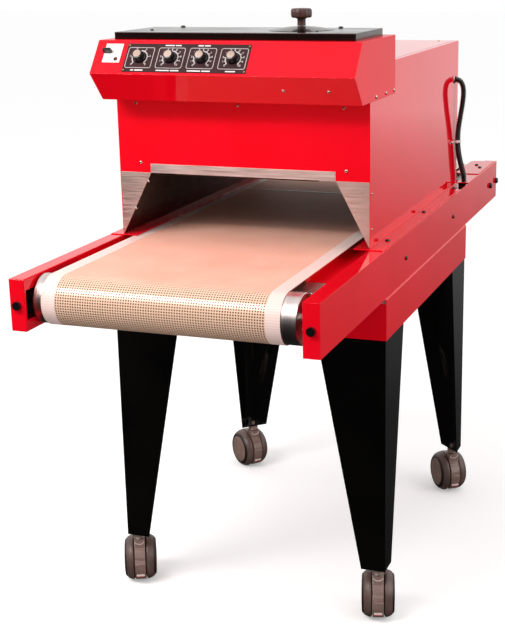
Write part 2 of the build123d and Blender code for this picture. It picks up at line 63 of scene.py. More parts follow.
def spot(x, y, z):  # millimetres from the middle plane, the oven's front face and the floor
    return Vector((middleX + x * mm, ovenFront + y * mm, z * mm))


# Materials

def linear(hexColour):
    parts = [int(hexColour[i:i + 2], 16) / 255 for i in (0, 2, 4)]
    return [c / 12.92 if c <= 0.04045 else ((c + 0.055) / 1.055) ** 2.4 for c in parts] + [1]


def setInput(socket, value):  # a hex colour is turned to linear
    socket.default_value = linear(value) if isinstance(value, str) else value


def addNode(tree, kind, settings=None, links=None, output=0):
    # Adds a node with its settings and links, and gives back one of its outputs
    node = tree.nodes.new("ShaderNode" + kind)
    for key, value in (settings or {}).items():
        if isinstance(key, str) and hasattr(node, key):
            setattr(node, key, value)
        else:
            setInput(node.inputs[key], value)
    for key, socket in (links or {}).items():
        tree.links.new(socket, node.inputs[key])
    return node.outputs[output]


def newMaterial(name, shaderSettings):
    material = bpy.data.materials.new(name)
    material.use_nodes = True
    tree = material.node_tree
    shader = tree.nodes["Principled BSDF"].inputs
    for key, value in shaderSettings.items():
        setInput(shader[key], value)
    return material, tree, shader, addNode(tree, "TexCoord", output="Object")


def feed(tree, shader, sockets):
    for key, socket in sockets.items():
        tree.links.new(socket, shader[key])


def enamel(name, paint, cloudPaint, coat=1.0):
    # Stoved gloss enamel on sheet steel: a deep flat colour under a clear coat that waves very slightly
    settings = {"Roughness": 0.5, "Specular IOR Level": 0.0, "Coat Weight": coat, "Coat Roughness": 0.035,
                "Coat IOR": 1.5}
    material, tree, shader, place = newMaterial(name, settings)
    cloud = addNode(tree, "TexNoise", {"Scale": 1 / (180 * mm), "Detail": 2.0}, {"Vector": place})
    share = addNode(tree, "MapRange", {1: 0.35, 2: 0.65}, {0: cloud})
    colour = addNode(tree, "Mix", {"data_type": "RGBA", 6: paint, 7: cloudPaint}, {0: share}, 2)
    # Orange peel, 14 mm from wave to wave
    peel = addNode(tree, "TexNoise", {"Scale": 1 / (14 * mm), "Detail": 1.0}, {"Vector": place})
    bump = addNode(tree, "Bump", {"Distance": 0.01 * mm, "Strength": 1.0}, {"Height": peel})
    feed(tree, shader, {"Base Color": colour, "Coat Normal": bump})
    return material


def bakedBlack():
    # Baked gloss black on the damper tray: near black from the front, a pale mirror where it is seen flat,
    # with a painted pink tint in its reflections
    settings = {"Roughness": 0.18, "Specular IOR Level": 0.5, "Specular Tint": "F6D6D0"}
    material, tree, shader, place = newMaterial("bakedBlack", settings)
    drawn = addNode(tree, "Mapping", {"Scale": (0.6, 1.6, 1)}, {"Vector": place})
    wave = addNode(tree, "TexNoise", {"Scale": 1 / (110 * mm), "Detail": 2.0}, {"Vector": drawn})
    rough = addNode(tree, "MapRange", {1: 0.35, 2: 0.65, 3: 0.14, 4: 0.22}, {0: wave})
    colour = addNode(tree, "Mix", {"data_type": "RGBA", 6: "0A0505", 7: "160A08"}, {0: wave}, 2)
    feed(tree, shader, {"Base Color": colour, "Roughness": rough})
    return material


def brushed(name, tone, darker, grain, roughness, streak=0.35):
    # Sheet metal finished on a belt grinder: long fine scratches along one direction
    material, tree, shader, place = newMaterial(name, {"Metallic": 1.0, "Roughness": roughness})
    drawn = addNode(tree, "Mapping", {"Scale": grain}, {"Vector": place})
    lines = addNode(tree, "TexNoise", {"Scale": 1 / (1.2 * mm), "Detail": 3.0}, {"Vector": drawn})
    stain = addNode(tree, "TexNoise", {"Scale": 1 / (60 * mm), "Detail": 4.0}, {"Vector": place})
    both = addNode(tree, "Math", {"operation": "MULTIPLY_ADD", 1: streak}, {0: lines, 2: stain})
    share = addNode(tree, "MapRange", {1: 0.45, 2: 0.95}, {0: both})
    colour = addNode(tree, "Mix", {"data_type": "RGBA", 6: darker, 7: tone}, {0: share}, 2)
    rough = addNode(tree, "MapRange", {1: 0.3, 2: 0.7, 3: roughness * 0.75, 4: roughness * 1.3}, {0: lines})
    bump = addNode(tree, "Bump", {"Distance": 0.02 * mm, "Strength": 1.0}, {"Height": lines})
    feed(tree, shader, {"Base Color": colour, "Roughness": rough, "Normal": bump})
    return material


def turnedSteel():
    # Roller tube, turned and worn matt by the belt: very fine rings round the axis, drawn 2 mm apart to show
    material, tree, shader, place = newMaterial("turnedSteel", {"Metallic": 1.0, "Roughness": 0.3})
    drawn = addNode(tree, "Mapping", {"Scale": (1, 0.004, 0.004)}, {"Vector": place})
    rings = addNode(tree, "TexNoise", {"Scale": 1 / (2 * mm), "Detail": 2.0}, {"Vector": drawn})
    share = addNode(tree, "MapRange", {1: 0.3, 2: 0.7}, {0: rings})
    colour = addNode(tree, "Mix", {"data_type": "RGBA", 6: "CDBFBC", 7: "E6DAD6"}, {0: share}, 2)
    rough = addNode(tree, "MapRange", {1: 0.3, 2: 0.7, 3: 0.28, 4: 0.36}, {0: rings})
    feed(tree, shader, {"Base Color": colour, "Roughness": rough})
    return material


def knurledAluminium():
    # Rolled aluminium with a coarse diamond knurl, 6 mm from ridge to ridge, its pits painted dark as shade
    material, tree, shader, place = newMaterial("knurledAluminium", {"Metallic": 1.0, "Roughness": 0.38})
    bands = {"Scale": math.pi / (10 * 6 * mm), "wave_type": "BANDS"}
    waves = []
    for turn in (45, -45):
        turned = addNode(tree, "Mapping", {"Rotation": (0, 0, math.radians(turn))}, {"Vector": place})
        waves.append(addNode(tree, "TexWave", bands, {"Vector": turned}, "Fac"))
    knurl = addNode(tree, "Math", {"operation": "MULTIPLY"}, {0: waves[0], 1: waves[1]})
    # dark in the knurl's pits and light on its ridges: painted shade
    share = addNode(tree, "MapRange", {1: 0.12, 2: 0.4}, {0: knurl})
    colour = addNode(tree, "Mix", {"data_type": "RGBA", 6: "5A4E4A", 7: "FFF8F5"}, {0: share}, 2)
    bump = addNode(tree, "Bump", {"Distance": 0.5 * mm, "Strength": 1.0}, {"Height": knurl})
    feed(tree, shader, {"Base Color": colour, "Normal": bump})
    return material


def moulded(name, tone, darker, roughness, grainSize=0.8, depth=0.03, gloss=0.5):
    # Injection-moulded plastic with a fine spark-eroded grain
    settings = {"Roughness": roughness, "IOR": 1.5, "Specular IOR Level": gloss}
    material, tree, shader, place = newMaterial(name, settings)
    grain = addNode(tree, "TexNoise", {"Scale": 1 / (grainSize * mm), "Detail": 2.0}, {"Vector": place})
    cloud = addNode(tree, "TexNoise", {"Scale": 1 / (30 * mm), "Detail": 3.0}, {"Vector": place})
    share = addNode(tree, "MapRange", {1: 0.3, 2: 0.7}, {0: cloud})
    colour = addNode(tree, "Mix", {"data_type": "RGBA", 6: darker, 7: tone}, {0: share}, 2)
    rough = addNode(tree, "MapRange", {1: 0.3, 2: 0.7, 3: roughness * 0.85, 4: roughness * 1.15}, {0: grain})
    bump = addNode(tree, "Bump", {"Distance": depth * mm, "Strength": 1.0}, {"Height": grain})
    feed(tree, shader, {"Base Color": colour, "Roughness": rough, "Normal": bump})
    return material


beltLook = {
    "pitch": 5.4 * mm,
    "holeShare": 0.5,
    "holeBlur": 0.03,
    "thread": "FDCBB5",
    "threadDark": "F6BDA6",
    # threads painted darker where the belt bends: painted shade
    "threadShadeOverRoller": "EFC5A9",
    "holeOverBed": "DC8C78",
    # dark brown steel in the openings over the roller: painted shade
    "holeShadeOverRoller": "4E2415",
    "threadRoughness": 0.62,
    "steelRoughness": 0.3,
    "rollerStart": 8 * mm,  # how far past the roller's axis the steel, painted dark as shade, starts and ends to show through
    "rollerFull": 30 * mm,
}


def ptfeMesh(rollerY):
    # PTFE-coated glass mesh: square openings between flat threads. The bright bed shows through them, and the
    # steel of the roller where the belt bends; there the steel and the threads carry painted shade
    settings = {"Roughness": beltLook["threadRoughness"], "Specular IOR Level": 0.12, "Coat Weight": 0.0,
                "Coat Roughness": 0.22, "Coat IOR": 1.85}
    material, tree, shader, place = newMaterial("ptfeMesh", settings)
    along = addNode(tree, "UVMap", {"uv_map": "along"})
    edge = 0.5 - beltLook["holeShare"] / 2
    steps = {1: edge - beltLook["holeBlur"], 2: edge + beltLook["holeBlur"]}
    inside = []
    for part in addNode(tree, "SeparateXYZ", {}, {0: along}).node.outputs[:2]:
        cell = addNode(tree, "Math", {"operation": "DIVIDE", 1: beltLook["pitch"]}, {0: part})
        wave = addNode(tree, "Math", {"operation": "PINGPONG", 1: 0.5}, {0: cell})
        inside.append(addNode(tree, "MapRange", steps, {0: wave}))
    hole = addNode(tree, "Math", {"operation": "MULTIPLY"}, {0: inside[0], 1: inside[1]})
    run = addNode(tree, "SeparateXYZ", {}, {0: place}, 1)
    far = addNode(tree, "Math", {"operation": "ABSOLUTE"}, {0: run})
    full = rollerY + beltLook["rollerFull"]
    bent = addNode(tree, "MapRange", {1: rollerY, 2: full}, {0: far})
    overRoller = addNode(tree, "MapRange", {1: rollerY + beltLook["rollerStart"], 2: full}, {0: far})
    steel = addNode(tree, "Math", {"operation": "MULTIPLY"}, {0: hole, 1: overRoller})
    roughness = {3: beltLook["threadRoughness"], 4: beltLook["steelRoughness"]}
    rough = addNode(tree, "MapRange", roughness, {0: steel})
    coat = addNode(tree, "Math", {"operation": "SUBTRACT", "use_clamp": True}, {0: bent, 1: steel})
    # under the openings: the bed's colour, and over the roller dark steel with painted shade
    under = {"data_type": "RGBA", 6: beltLook["holeOverBed"], 7: beltLook["holeShadeOverRoller"]}
    under = addNode(tree, "Mix", under, {0: overRoller}, 2)
    cloud = addNode(tree, "TexNoise", {"Scale": 1 / (90 * mm), "Detail": 3.0}, {"Vector": place})
    share = addNode(tree, "MapRange", {1: 0.3, 2: 0.7}, {0: cloud})
    thread = {"data_type": "RGBA", 6: beltLook["threadDark"], 7: beltLook["thread"]}
    thread = addNode(tree, "Mix", thread, {0: share}, 2)
    # where the belt bends the threads take the darker colour: painted shade
    shadedOverRoller = {"data_type": "RGBA", 7: beltLook["threadShadeOverRoller"]}
    thread = addNode(tree, "Mix", shadedOverRoller, {0: bent, 6: thread}, 2)
    colour = addNode(tree, "Mix", {"data_type": "RGBA"}, {0: hole, 6: thread, 7: under}, 2)
    height = addNode(tree, "Math", {"operation": "SUBTRACT", 0: 1.0}, {1: hole})
    bump = addNode(tree, "Bump", {"Distance": 0.5 * mm, "Strength": 0.6}, {"Height": height})
    feed(tree, shader, {"Base Color": colour, "Metallic": steel, "Roughness": rough, "Coat Weight": coat,
                        "Normal": bump})
    return material


def ptfeFilm():
    # Smooth folded PTFE film along the belt's edges, half shiny, with the mesh showing faintly through it
    material, tree, shader, place = newMaterial("ptfeFilm", {"Roughness": 0.42, "Specular IOR Level": 0.35})
    along = addNode(tree, "UVMap", {"uv_map": "along"})
    bands = {"Scale": math.pi / (10 * beltLook["pitch"]), "bands_direction": "Y"}
    wave = addNode(tree, "TexWave", bands, {"Vector": along}, "Fac")
    colour = addNode(tree, "Mix", {"data_type": "RGBA", 6: "EFCFC6", 7: "F6DDD6"}, {0: wave}, 2)
    bump = addNode(tree, "Bump", {"Distance": 0.15 * mm, "Strength": 0.5}, {"Height": wave})
    feed(tree, shader, {"Base Color": colour, "Normal": bump})
    return material


paint = {
    "red": enamel("redEnamel", "E9081C", "F00A22"),
    "console": enamel("consoleEnamel", "E9081C", "F00A22", 0.5),
    "black": enamel("blackEnamel", "060505", "0A0908"),
    "tray": bakedBlack(),
    "trim": brushed("brushedAluminium", "F7E8E4", "E3D2CD", (0.02, 1, 1), 0.5, 0.5),
    "plate": brushed("brushedSteelSheet", "E6D2CB", "D2BDB5", (0.02, 1, 0.6), 0.54, 0.3),
    "reflector": brushed("heatTintedSteel", "7A675C", "5C4C43", (1, 0.02, 1), 0.36),
    "roller": turnedSteel(),
    "knurl": knurledAluminium(),
    "abs": moulded("blackAbs", "0D0C0D", "080708", 0.22),
    "bakelite": moulded("darkBakelite", "573730", "402721", 0.42),
    "hub": moulded("taupeNylon", "8F746A", "7A6259", 0.42),
    "hood": moulded("taupeNylonWeb", "8B7168", "765E56", 0.34),
    "tread": moulded("taupePolyurethane", "66504A", "523F39", 0.4),
    # dark material for the tyre rings, the seam's joint and the lamp's bezel; on the tyres' inner faces it is
    # painted shade
    "darkPartsAndShade": moulded("darkPolyurethaneAndPaintedShade", "2A1B18", "1C110F", 0.45),
    "tab": moulded("paleNylon", "E6D2CC", "D3BEB7", 0.3),
    "tie": moulded("paleNylonTie", "F0DEDB", "E4CFCB", 0.35),
    "brass": brushed("brassScrew", "C8A878", "A2855C", (1, 1, 1), 0.3),
    "shade": moulded("darkRedSeam", "8E0A14", "74070F", 0.5),
    "redInk": moulded("redInk", "C21A24", "A81520", 0.4),
    "hose": moulded("corrugatedNylon", "0D0B0B", "070606", 0.24),
    # lighter ridge crests: painted glints along the hose's ribs
    "crestGlint": moulded("ridgeGlintNylon", "4A423F", "332D2B", 0.36),
    "washer": brushed("zincWasher", "F3DEDA", "DCC6C1", (1, 1, 1), 0.4),
    "white": moulded("whiteNylon", "F4E9E6", "E8DCD9", 0.35),
    "acrylic": moulded("whiteAcrylic", "F4EEE9", "EDE5E0", 0.12, 2.0, 0.004),
    "lavender": moulded("lavenderInk", "CDBBDD", "C3B0D6", 0.3),
    "laminate": moulded("blackLaminate", "3C1E20", "32181A", 0.5, 1.5, 0.01, 0.2),
    "ink": moulded("whiteInk", "EFE9E7", "DDD6D4", 0.5),
    "greyInk": moulded("greyInk", "D2C6C6", "BFB3B3", 0.5),
    "fineInk": moulded("fineGreyInk", "C9BBBB", "B6A8A8", 0.5),
    "spun": brushed("spunAluminiumCap", "D8BFB4", "B4988C", (1, 1, 1), 0.38),
    "lens": moulded("redLens", "7A1012", "5C090B", 0.12),
    "zinc": brushed("zincScrew", "E6DBCB", "BDB09E", (1, 1, 1), 0.25),
    "oxide": moulded("blackOxide", "120E0E", "0A0808", 0.3),
    "iron": moulded("castIron", "1B1817", "100E0D", 0.55),
    "ceramic": moulded("heaterCeramic", "3A322E", "2B2522", 0.7, 2.0, 0.2),
    "collar": brushed("platedCollar", "6E675F", "4E4842", (1, 1, 1), 0.4),
    "belt": ptfeMesh(rollerAxis),
    "film": ptfeFilm(),
}
print("materials: %d" % len(paint))


# Ways of making and finishing a piece

def addPiece(name, bm, materials, body=root, replaced=(), smooth=35):
    mesh = bpy.data.meshes.new(name)
    bm.to_mesh(mesh)
    bm.free()
    for entry in materials if isinstance(materials, (list, tuple)) else [materials]:
        mesh.materials.append(paint[entry])
    for face in mesh.polygons:
        face.use_smooth = smooth > 0
    if smooth > 0:
        mesh.set_sharp_from_angle(angle=math.radians(smooth))
    piece = bpy.data.objects.new(name, mesh)
    bpy.context.scene.collection.objects.link(piece)
    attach(piece, body)
    if replaced:
        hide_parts(*replaced)
    return piece


def flatShading(piece):  # keeps wide faces flat beside their rounded folds
    smoother = piece.modifiers.new("flatFaces", "WEIGHTED_NORMAL")
    smoother.keep_sharp = True
    smoother.weight = 100


def faceWidth(face):
    return 2 * face.calc_area() / face.calc_perimeter()


def foldedCopy(node, fold, material, edge=0.4 * mm, body=root, wide=4 * mm):
    # The CAD sheet with rounded folds where two wide faces meet and softened raw edges elsewhere
    bm = bmesh.new()
    bm.from_mesh(nodes[node].data)
    bmesh.ops.remove_doubles(bm, verts=bm.verts, dist=0.01 * mm)
    bmesh.ops.dissolve_limit(bm, angle_limit=math.radians(0.5), verts=bm.verts, edges=bm.edges)
    sharp = [e for e in bm.edges if len(e.link_faces) == 2 and e.calc_face_angle_signed() > math.radians(25)]
    folds = [e for e in sharp if min(faceWidth(f) for f in e.link_faces) > wide]
    rest = [e for e in sharp if e not in set(folds)]
    if folds:
        bmesh.ops.bevel(bm, geom=folds, offset=fold, offset_type="OFFSET", segments=4, profile=0.5,
                        affect="EDGES", clamp_overlap=True, material=-1)
    rest = [e for e in rest if e.is_valid]
    if rest and edge:
        bmesh.ops.bevel(bm, geom=rest, offset=edge, offset_type="OFFSET", segments=1, profile=0.5,
                        affect="EDGES", clamp_overlap=True, material=-1)
    flatShading(addPiece(node + "_sheet", bm, material, body, (node,), 30))


def towards(direction):
    return Vector(direction).to_track_quat("Z", "Y").to_matrix().to_4x4()


def joinedFaces(verts):  # every face of the shape that holds these points
    faces = {f for v in verts for f in v.link_faces}
    more = faces
    while more:
        more = {f for face in more for v in face.verts for f in v.link_faces} - faces
        faces |= more
    return faces


def spinProfile(bm, profile, place, steps=24, closed=False, materialIndex=0):
    # Turns (radius, height) pairs round +Z, then moves the shape with the matrix place
    corners = [bm.verts.new((radius, 0, height)) for radius, height in profile]
    edges = [bm.edges.new(pair) for pair in zip(corners, corners[1:])]
    if closed:
        edges.append(bm.edges.new((corners[-1], corners[0])))
    made = bmesh.ops.spin(bm, geom=corners + edges, cent=(0, 0, 0), axis=(0, 0, 1), dvec=(0, 0, 0),
                          angle=math.tau, steps=steps, use_merge=True)
    faces = joinedFaces(v for v in made["geom_last"] if isinstance(v, bmesh.types.BMVert))
    verts = list({v for face in faces for v in face.verts})
    bmesh.ops.remove_doubles(bm, verts=verts, dist=0.005 * mm)
    faces = [f for f in faces if f.is_valid]
    bmesh.ops.recalc_face_normals(bm, faces=faces)
    for face in faces:
        face.material_index = materialIndex
    verts = list({v for face in faces for v in face.verts})
    bmesh.ops.transform(bm, matrix=place, verts=verts)
    return faces


def addBlock(bm, low, high, soften=0.0, segments=2, place=None, materialIndex=0):
    made = bmesh.ops.create_cube(bm, size=1)["verts"]
    size = [b - a for a, b in zip(low, high)]
    centre = [(a + b) / 2 for a, b in zip(low, high)]
    bmesh.ops.scale(bm, vec=size, verts=made)
    bmesh.ops.translate(bm, vec=centre, verts=made)
    faces = {f for v in made for f in v.link_faces}
    for face in faces:
        face.material_index = materialIndex
    if soften:
        edges = list({e for f in faces for e in f.edges})
        result = bmesh.ops.bevel(bm, geom=edges, offset=soften, offset_type="OFFSET", segments=segments,
                                 profile=0.5, affect="EDGES", clamp_overlap=True, material=-1)
        faces = {f for f in faces if f.is_valid} | set(result["faces"])
    if place is not None:
        bmesh.ops.transform(bm, matrix=place, verts=list({v for f in faces for v in f.verts}))


screwSizes = {
    "panel": {"radius": 3.9 * mm, "height": 2.4 * mm},
    "small": {"radius": 2.8 * mm, "height": 1.8 * mm},
    "plate": {"radius": 2.2 * mm, "height": 1.2 * mm},
    "rail": {"radius": 5.6 * mm, "height": 3.4 * mm},
}


def addScrew(bm, point, direction, size, materialIndex=0):
    # A button head with a round socket
    r = screwSizes[size]["radius"]
    h = screwSizes[size]["height"]
    profile = [(r, -0.2 * mm), (r, 0.25 * h), (0.86 * r, 0.68 * h), (0.6 * r, 0.95 * h), (0.42 * r, h),
               (0.38 * r, 0.45 * h), (0, 0.4 * h)]
    spinProfile(bm, profile, Matrix.Translation(point) @ towards(direction), 14, False, materialIndex)


# Camera and stage

cameraView = {
    "place": (1011.1, -2471.0, 1471.5),  # millimetres, from the same planes as spot
    "yaw": 19.548,
    "pitch": 14.899,
    "roll": -0.827,
    "focalPixels": 1257.8,
    "centrePixel": (301.5, 290.1),
    "picture": (505, 626),
}


def addCamera():
    yaw, pitch, roll = (math.radians(cameraView[key]) for key in ("yaw", "pitch", "roll"))
    forward = Vector((-math.sin(yaw) * math.cos(pitch), math.cos(yaw) * math.cos(pitch), -math.sin(pitch)))
    level = Vector((math.cos(yaw), math.sin(yaw), 0))
    upright = level.cross(forward)
    right = level * math.cos(roll) + upright * math.sin(roll)
    up = upright * math.cos(roll) - level * math.sin(roll)
    wide, tall = cameraView["picture"]
    lens = bpy.data.cameras.new("camera")
    lens.sensor_width = 36
    lens.lens = cameraView["focalPixels"] * lens.sensor_width / tall
    lens.shift_x = (wide / 2 - cameraView["centrePixel"][0]) / tall
    lens.shift_y = (cameraView["centrePixel"][1] - tall / 2) / tall
    camera = bpy.data.objects.new("camera", lens)
    turn = Matrix((right, up, -forward)).transposed().to_4x4()
    camera.matrix_world = Matrix.Translation(spot(*cameraView["place"])) @ turn
    bpy.context.scene.collection.objects.link(camera)
    bpy.context.scene.camera = camera


studio = {
    "ambient": 0.75,
    "darkSky": 0.06,
    "floorSize": 60.0,
    "floorTone": 0.96,
    "floorWhite": 0.26,
    "bounce": 0.4,
    # metres out and brightness
    "floorSeenInGloss": [(0.0, 0.02), (1.2, 0.05), (2.6, 0.14), (4.0, 0.24), (7.0, 0.6), (9.5, 0.95)],
    "frontFloorInGloss": 0.08,
    # place, aim, size and radiance
    "lamps": {
        "key": ((-1.3, -2.2, 2.6), (-1.0, -0.75, 0.85), (2.2, 1.0), 6.2),
        "fill": ((3.3, -0.5, 1.9), (0.3, 0, 0.9), (2.4, 2.2), 2.3),
        "top": ((-0.95, -1.69, 2.14), (-0.95, -0.79, 0.85), (2.0, 0.15), 13.0),
    },
}


def addSoftbox(name, place, aim, size, radiance):
    wide, tall = size
    lamp = bpy.data.lights.new(name, "AREA")
    lamp.shape = "RECTANGLE"
    lamp.size = wide
    lamp.size_y = tall
    lamp.color = (1, 0.97, 0.95)
    lamp.energy = radiance * math.pi * wide * tall
    box = bpy.data.objects.new(name, lamp)
    facing = (Vector(aim) - Vector(place)).to_track_quat("-Z", "Y").to_matrix().to_4x4()
    box.matrix_world = Matrix.Translation(place) @ facing
    bpy.context.scene.collection.objects.link(box)


def addWorld():
    world = bpy.data.worlds.new("studio")
    bpy.context.scene.world = world
    world.use_nodes = True
    tree = world.node_tree
    back = tree.nodes["Background"].inputs
    back["Color"].default_value = (1, 1, 1, 1)
    rays = addNode(tree, "LightPath").node.outputs
    glossy = rays["Is Glossy Ray"]
    seen = addNode(tree, "Math", {"operation": "MAXIMUM"}, {0: rays["Is Camera Ray"], 1: glossy})
    seen = addNode(tree, "Math", {"operation": "MAXIMUM"}, {0: seen, 1: rays["Is Transmission Ray"]})
    # In reflections the room in front of the machine is dark up to about 20 degrees
    sky = addNode(tree, "TexCoord", output="Generated")
    sky = addNode(tree, "SeparateXYZ", {}, {0: sky}).node.outputs
    front = addNode(tree, "MapRange", {1: 0.1, 2: -0.3}, {0: sky[1]})
    low = addNode(tree, "MapRange", {1: 0.42, 2: 0.25}, {0: sky[2]})
    dark = addNode(tree, "Math", {"operation": "MULTIPLY"}, {0: front, 1: low})
    dark = addNode(tree, "Math", {"operation": "MULTIPLY"}, {0: dark, 1: glossy})
    level = addNode(tree, "MapRange", {3: studio["ambient"]}, {0: seen})
    level = addNode(tree, "Mix", {"data_type": "FLOAT", 3: studio["darkSky"]}, {0: dark, 2: level})
    tree.links.new(level, back["Strength"])


def addFloor():
    # White to the camera, throws back part of the light, and dark near the machine in reflections
    bm = bmesh.new()
    bmesh.ops.create_grid(bm, x_segments=1, y_segments=1, size=studio["floorSize"] / 2)
    mesh = bpy.data.meshes.new("floor")
    bm.to_mesh(mesh)
    bm.free()
    floor = bpy.data.objects.new("floor", mesh)
    bpy.context.scene.collection.objects.link(floor)
    settings = {"Roughness": 1.0, "Specular IOR Level": 0.0, "Emission Color": "FFFFFF"}
    material, tree, shader, place = newMaterial("paleFloor", settings)
    rays = addNode(tree, "LightPath").node.outputs
    camera = rays["Is Camera Ray"]
    glossy = rays["Is Glossy Ray"]
    tone = addNode(tree, "MapRange", {3: studio["bounce"], 4: studio["floorTone"]}, {0: camera})
    tone = addNode(tree, "Mix", {"data_type": "FLOAT", 3: 0.0}, {0: glossy, 2: tone})
    tone = addNode(tree, "CombineColor", {}, {0: tone, 1: tone, 2: tone})
    out = addNode(tree, "VectorMath", {"operation": "LENGTH"}, {0: place}, "Value")
    farthest = studio["floorSeenInGloss"][-1][0]
    share = addNode(tree, "MapRange", {2: farthest}, {0: out})
    ramp = addNode(tree, "ValToRGB", {}, {0: share})
    stops = ramp.node.color_ramp.elements
    while len(stops) < len(studio["floorSeenInGloss"]):
        stops.new(0.5)
    for stop, (away, level) in zip(stops, studio["floorSeenInGloss"]):
        stop.position = away / farthest
    for stop, (away, level) in zip(stops, studio["floorSeenInGloss"]):
        stop.color = (level, level, level, 1)
    depth = addNode(tree, "SeparateXYZ", {}, {0: place}, 1)
    nearness = addNode(tree, "MapRange", {1: -1.0, 2: 0.3, 3: studio["frontFloorInGloss"]}, {0: depth})
    level = addNode(tree, "Math", {"operation": "MULTIPLY"}, {0: ramp, 1: glossy})
    level = addNode(tree, "Math", {"operation": "MULTIPLY"}, {0: level, 1: nearness})
    white = {"operation": "MULTIPLY_ADD", 1: studio["floorWhite"]}
    level = addNode(tree, "Math", white, {0: camera, 2: level})
    feed(tree, shader, {"Base Color": tone, "Emission Strength": level})
    mesh.materials.append(material)


# The conduit, a corrugated hose on its own smooth line

hose = {
    "outer": 7.5 * mm,
    "inner": 5.7 * mm,
    "ridge": 4.4 * mm,
    "sides": 16,
    # out from the oven's side, before its rear face, above the rails, in millimetres
    "turns": [(0, 41, 282), (12, 41, 282), (22, 42, 270), (25, 41, 249), (22.5, 41, 220), (17, 42.5, 184),
              (11.5, 42.5, 146), (9.5, 34, 108), (11, 17, 73), (13.5, -6, 42), (15, -28, 14), (15, -28, -12)],
    "tieRise": 120 * mm,
    "tieHeight": 5.6 * mm,
    "tieWall": 1.8 * mm,
    "tieScrew": 77 * mm,  # before the oven's rear face
    "tieHead": (3 * mm, 5 * mm, 0.8 * mm),  # half its width, its reach before the hose, its rim past the band
    "washerProud": 0.8 * mm,
    "washer": [(-4, 0), (0, 0), (0, 1.4), (-0.5, 2.0), (-4, 2.0)],  # from its outer rim
}


def meshOf(curve):  # the curve's own mesh, which takes the curve's place
    holder = bpy.data.objects.new("holder", curve)
    mesh = bpy.data.meshes.new_from_object(holder)
    bpy.data.objects.remove(holder)
    bpy.data.curves.remove(curve)
    return mesh


def smoothLine(points, detail=24):
    curve = bpy.data.curves.new("line", "CURVE")
    curve.dimensions = "3D"
    spline = curve.splines.new("NURBS")
    spline.points.add(len(points) - 1)
    for point, place in zip(spline.points, points):
        point.co = (*place, 1)
    spline.order_u = 3
    spline.use_endpoint_u = True
    spline.resolution_u = detail
    mesh = meshOf(curve)
    line = [v.co.copy() for v in mesh.vertices]
    bpy.data.meshes.remove(mesh)
    return line


def evenly(line, step):
    # Points along a polyline, as near the step apart as its length allows
    lengths = [0.0]
    for a, b in zip(line, line[1:]):
        lengths.append(lengths[-1] + (b - a).length)
    count = max(2, round(lengths[-1] / step))
    points = []
    index = 0
    for number in range(count + 1):
        target = lengths[-1] * number / count
        while index < len(line) - 2 and lengths[index + 1] < target:
            index += 1
        span = lengths[index + 1] - lengths[index]
        points.append(line[index].lerp(line[index + 1], (target - lengths[index]) / span))
    return points, lengths[-1]


def tubeAlong(bm, points, radii, sides, materialIndices):
    # Rings set square to the line, bridged one to the next
    side = Vector((0, 1, 0))
    before = None
    for index, (point, radius) in enumerate(zip(points, radii)):
        ahead = points[min(index + 1, len(points) - 1)] - points[max(index - 1, 0)]
        ahead.normalize()
        side = (side - ahead * side.dot(ahead)).normalized()
        turn = Matrix((side, ahead.cross(side), ahead)).transposed().to_4x4()
        ring = bmesh.ops.create_circle(bm, cap_ends=index in (0, len(points) - 1), segments=sides,
                                       radius=radius, matrix=Matrix.Translation(point) @ turn)["verts"]
        edges = [e for e in {e for v in ring for e in v.link_edges}
                 if e.verts[0] in ring and e.verts[1] in ring]
        if before:
            made = bmesh.ops.bridge_loops(bm, edges=before + edges)
            for face in made["faces"]:
                face.material_index = materialIndices[(index - 1) % len(materialIndices)]
        before = edges


def addHose():
    route = [(middleX + ovenSide + out * mm, ovenRear - before * mm, railTop + up * mm)
             for out, before, up in hose["turns"]]
    line = smoothLine(route)
    points, length = evenly(line, hose["ridge"] / 4)
    wave = [hose["outer"], hose["outer"] - 0.2 * mm, hose["inner"], hose["inner"]]
    radii = [wave[i % 4] for i in range(len(points))]
    bm = bmesh.new()
    # the first band of every ridge takes the lighter crest material: painted glints
    tubeAlong(bm, points, radii, hose["sides"], (1, 0, 0, 0))
    bmesh.ops.recalc_face_normals(bm, faces=bm.faces)
    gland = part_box("conduit_gland")
    seat = Vector((middleX + ovenSide, (gland[0].y + gland[1].y) / 2, (gland[0].z + gland[1].z) / 2))
    rim = (gland[1].z - gland[0].z) / 2 + hose["washerProud"]
    ring = [(rim + out, rise) for out, rise in inMillimetres(hose["washer"])]
    spinProfile(bm, ring, Matrix.Translation(seat) @ towards((1, 0, 0)), 32, True, 2)
    piece = addPiece("conduit_hose", bm, ["hose", "crestGlint", "washer"], replaced=("conduit",),
                     smooth=60)
    addTie(points)
    print("hose: %.3f m" % length)


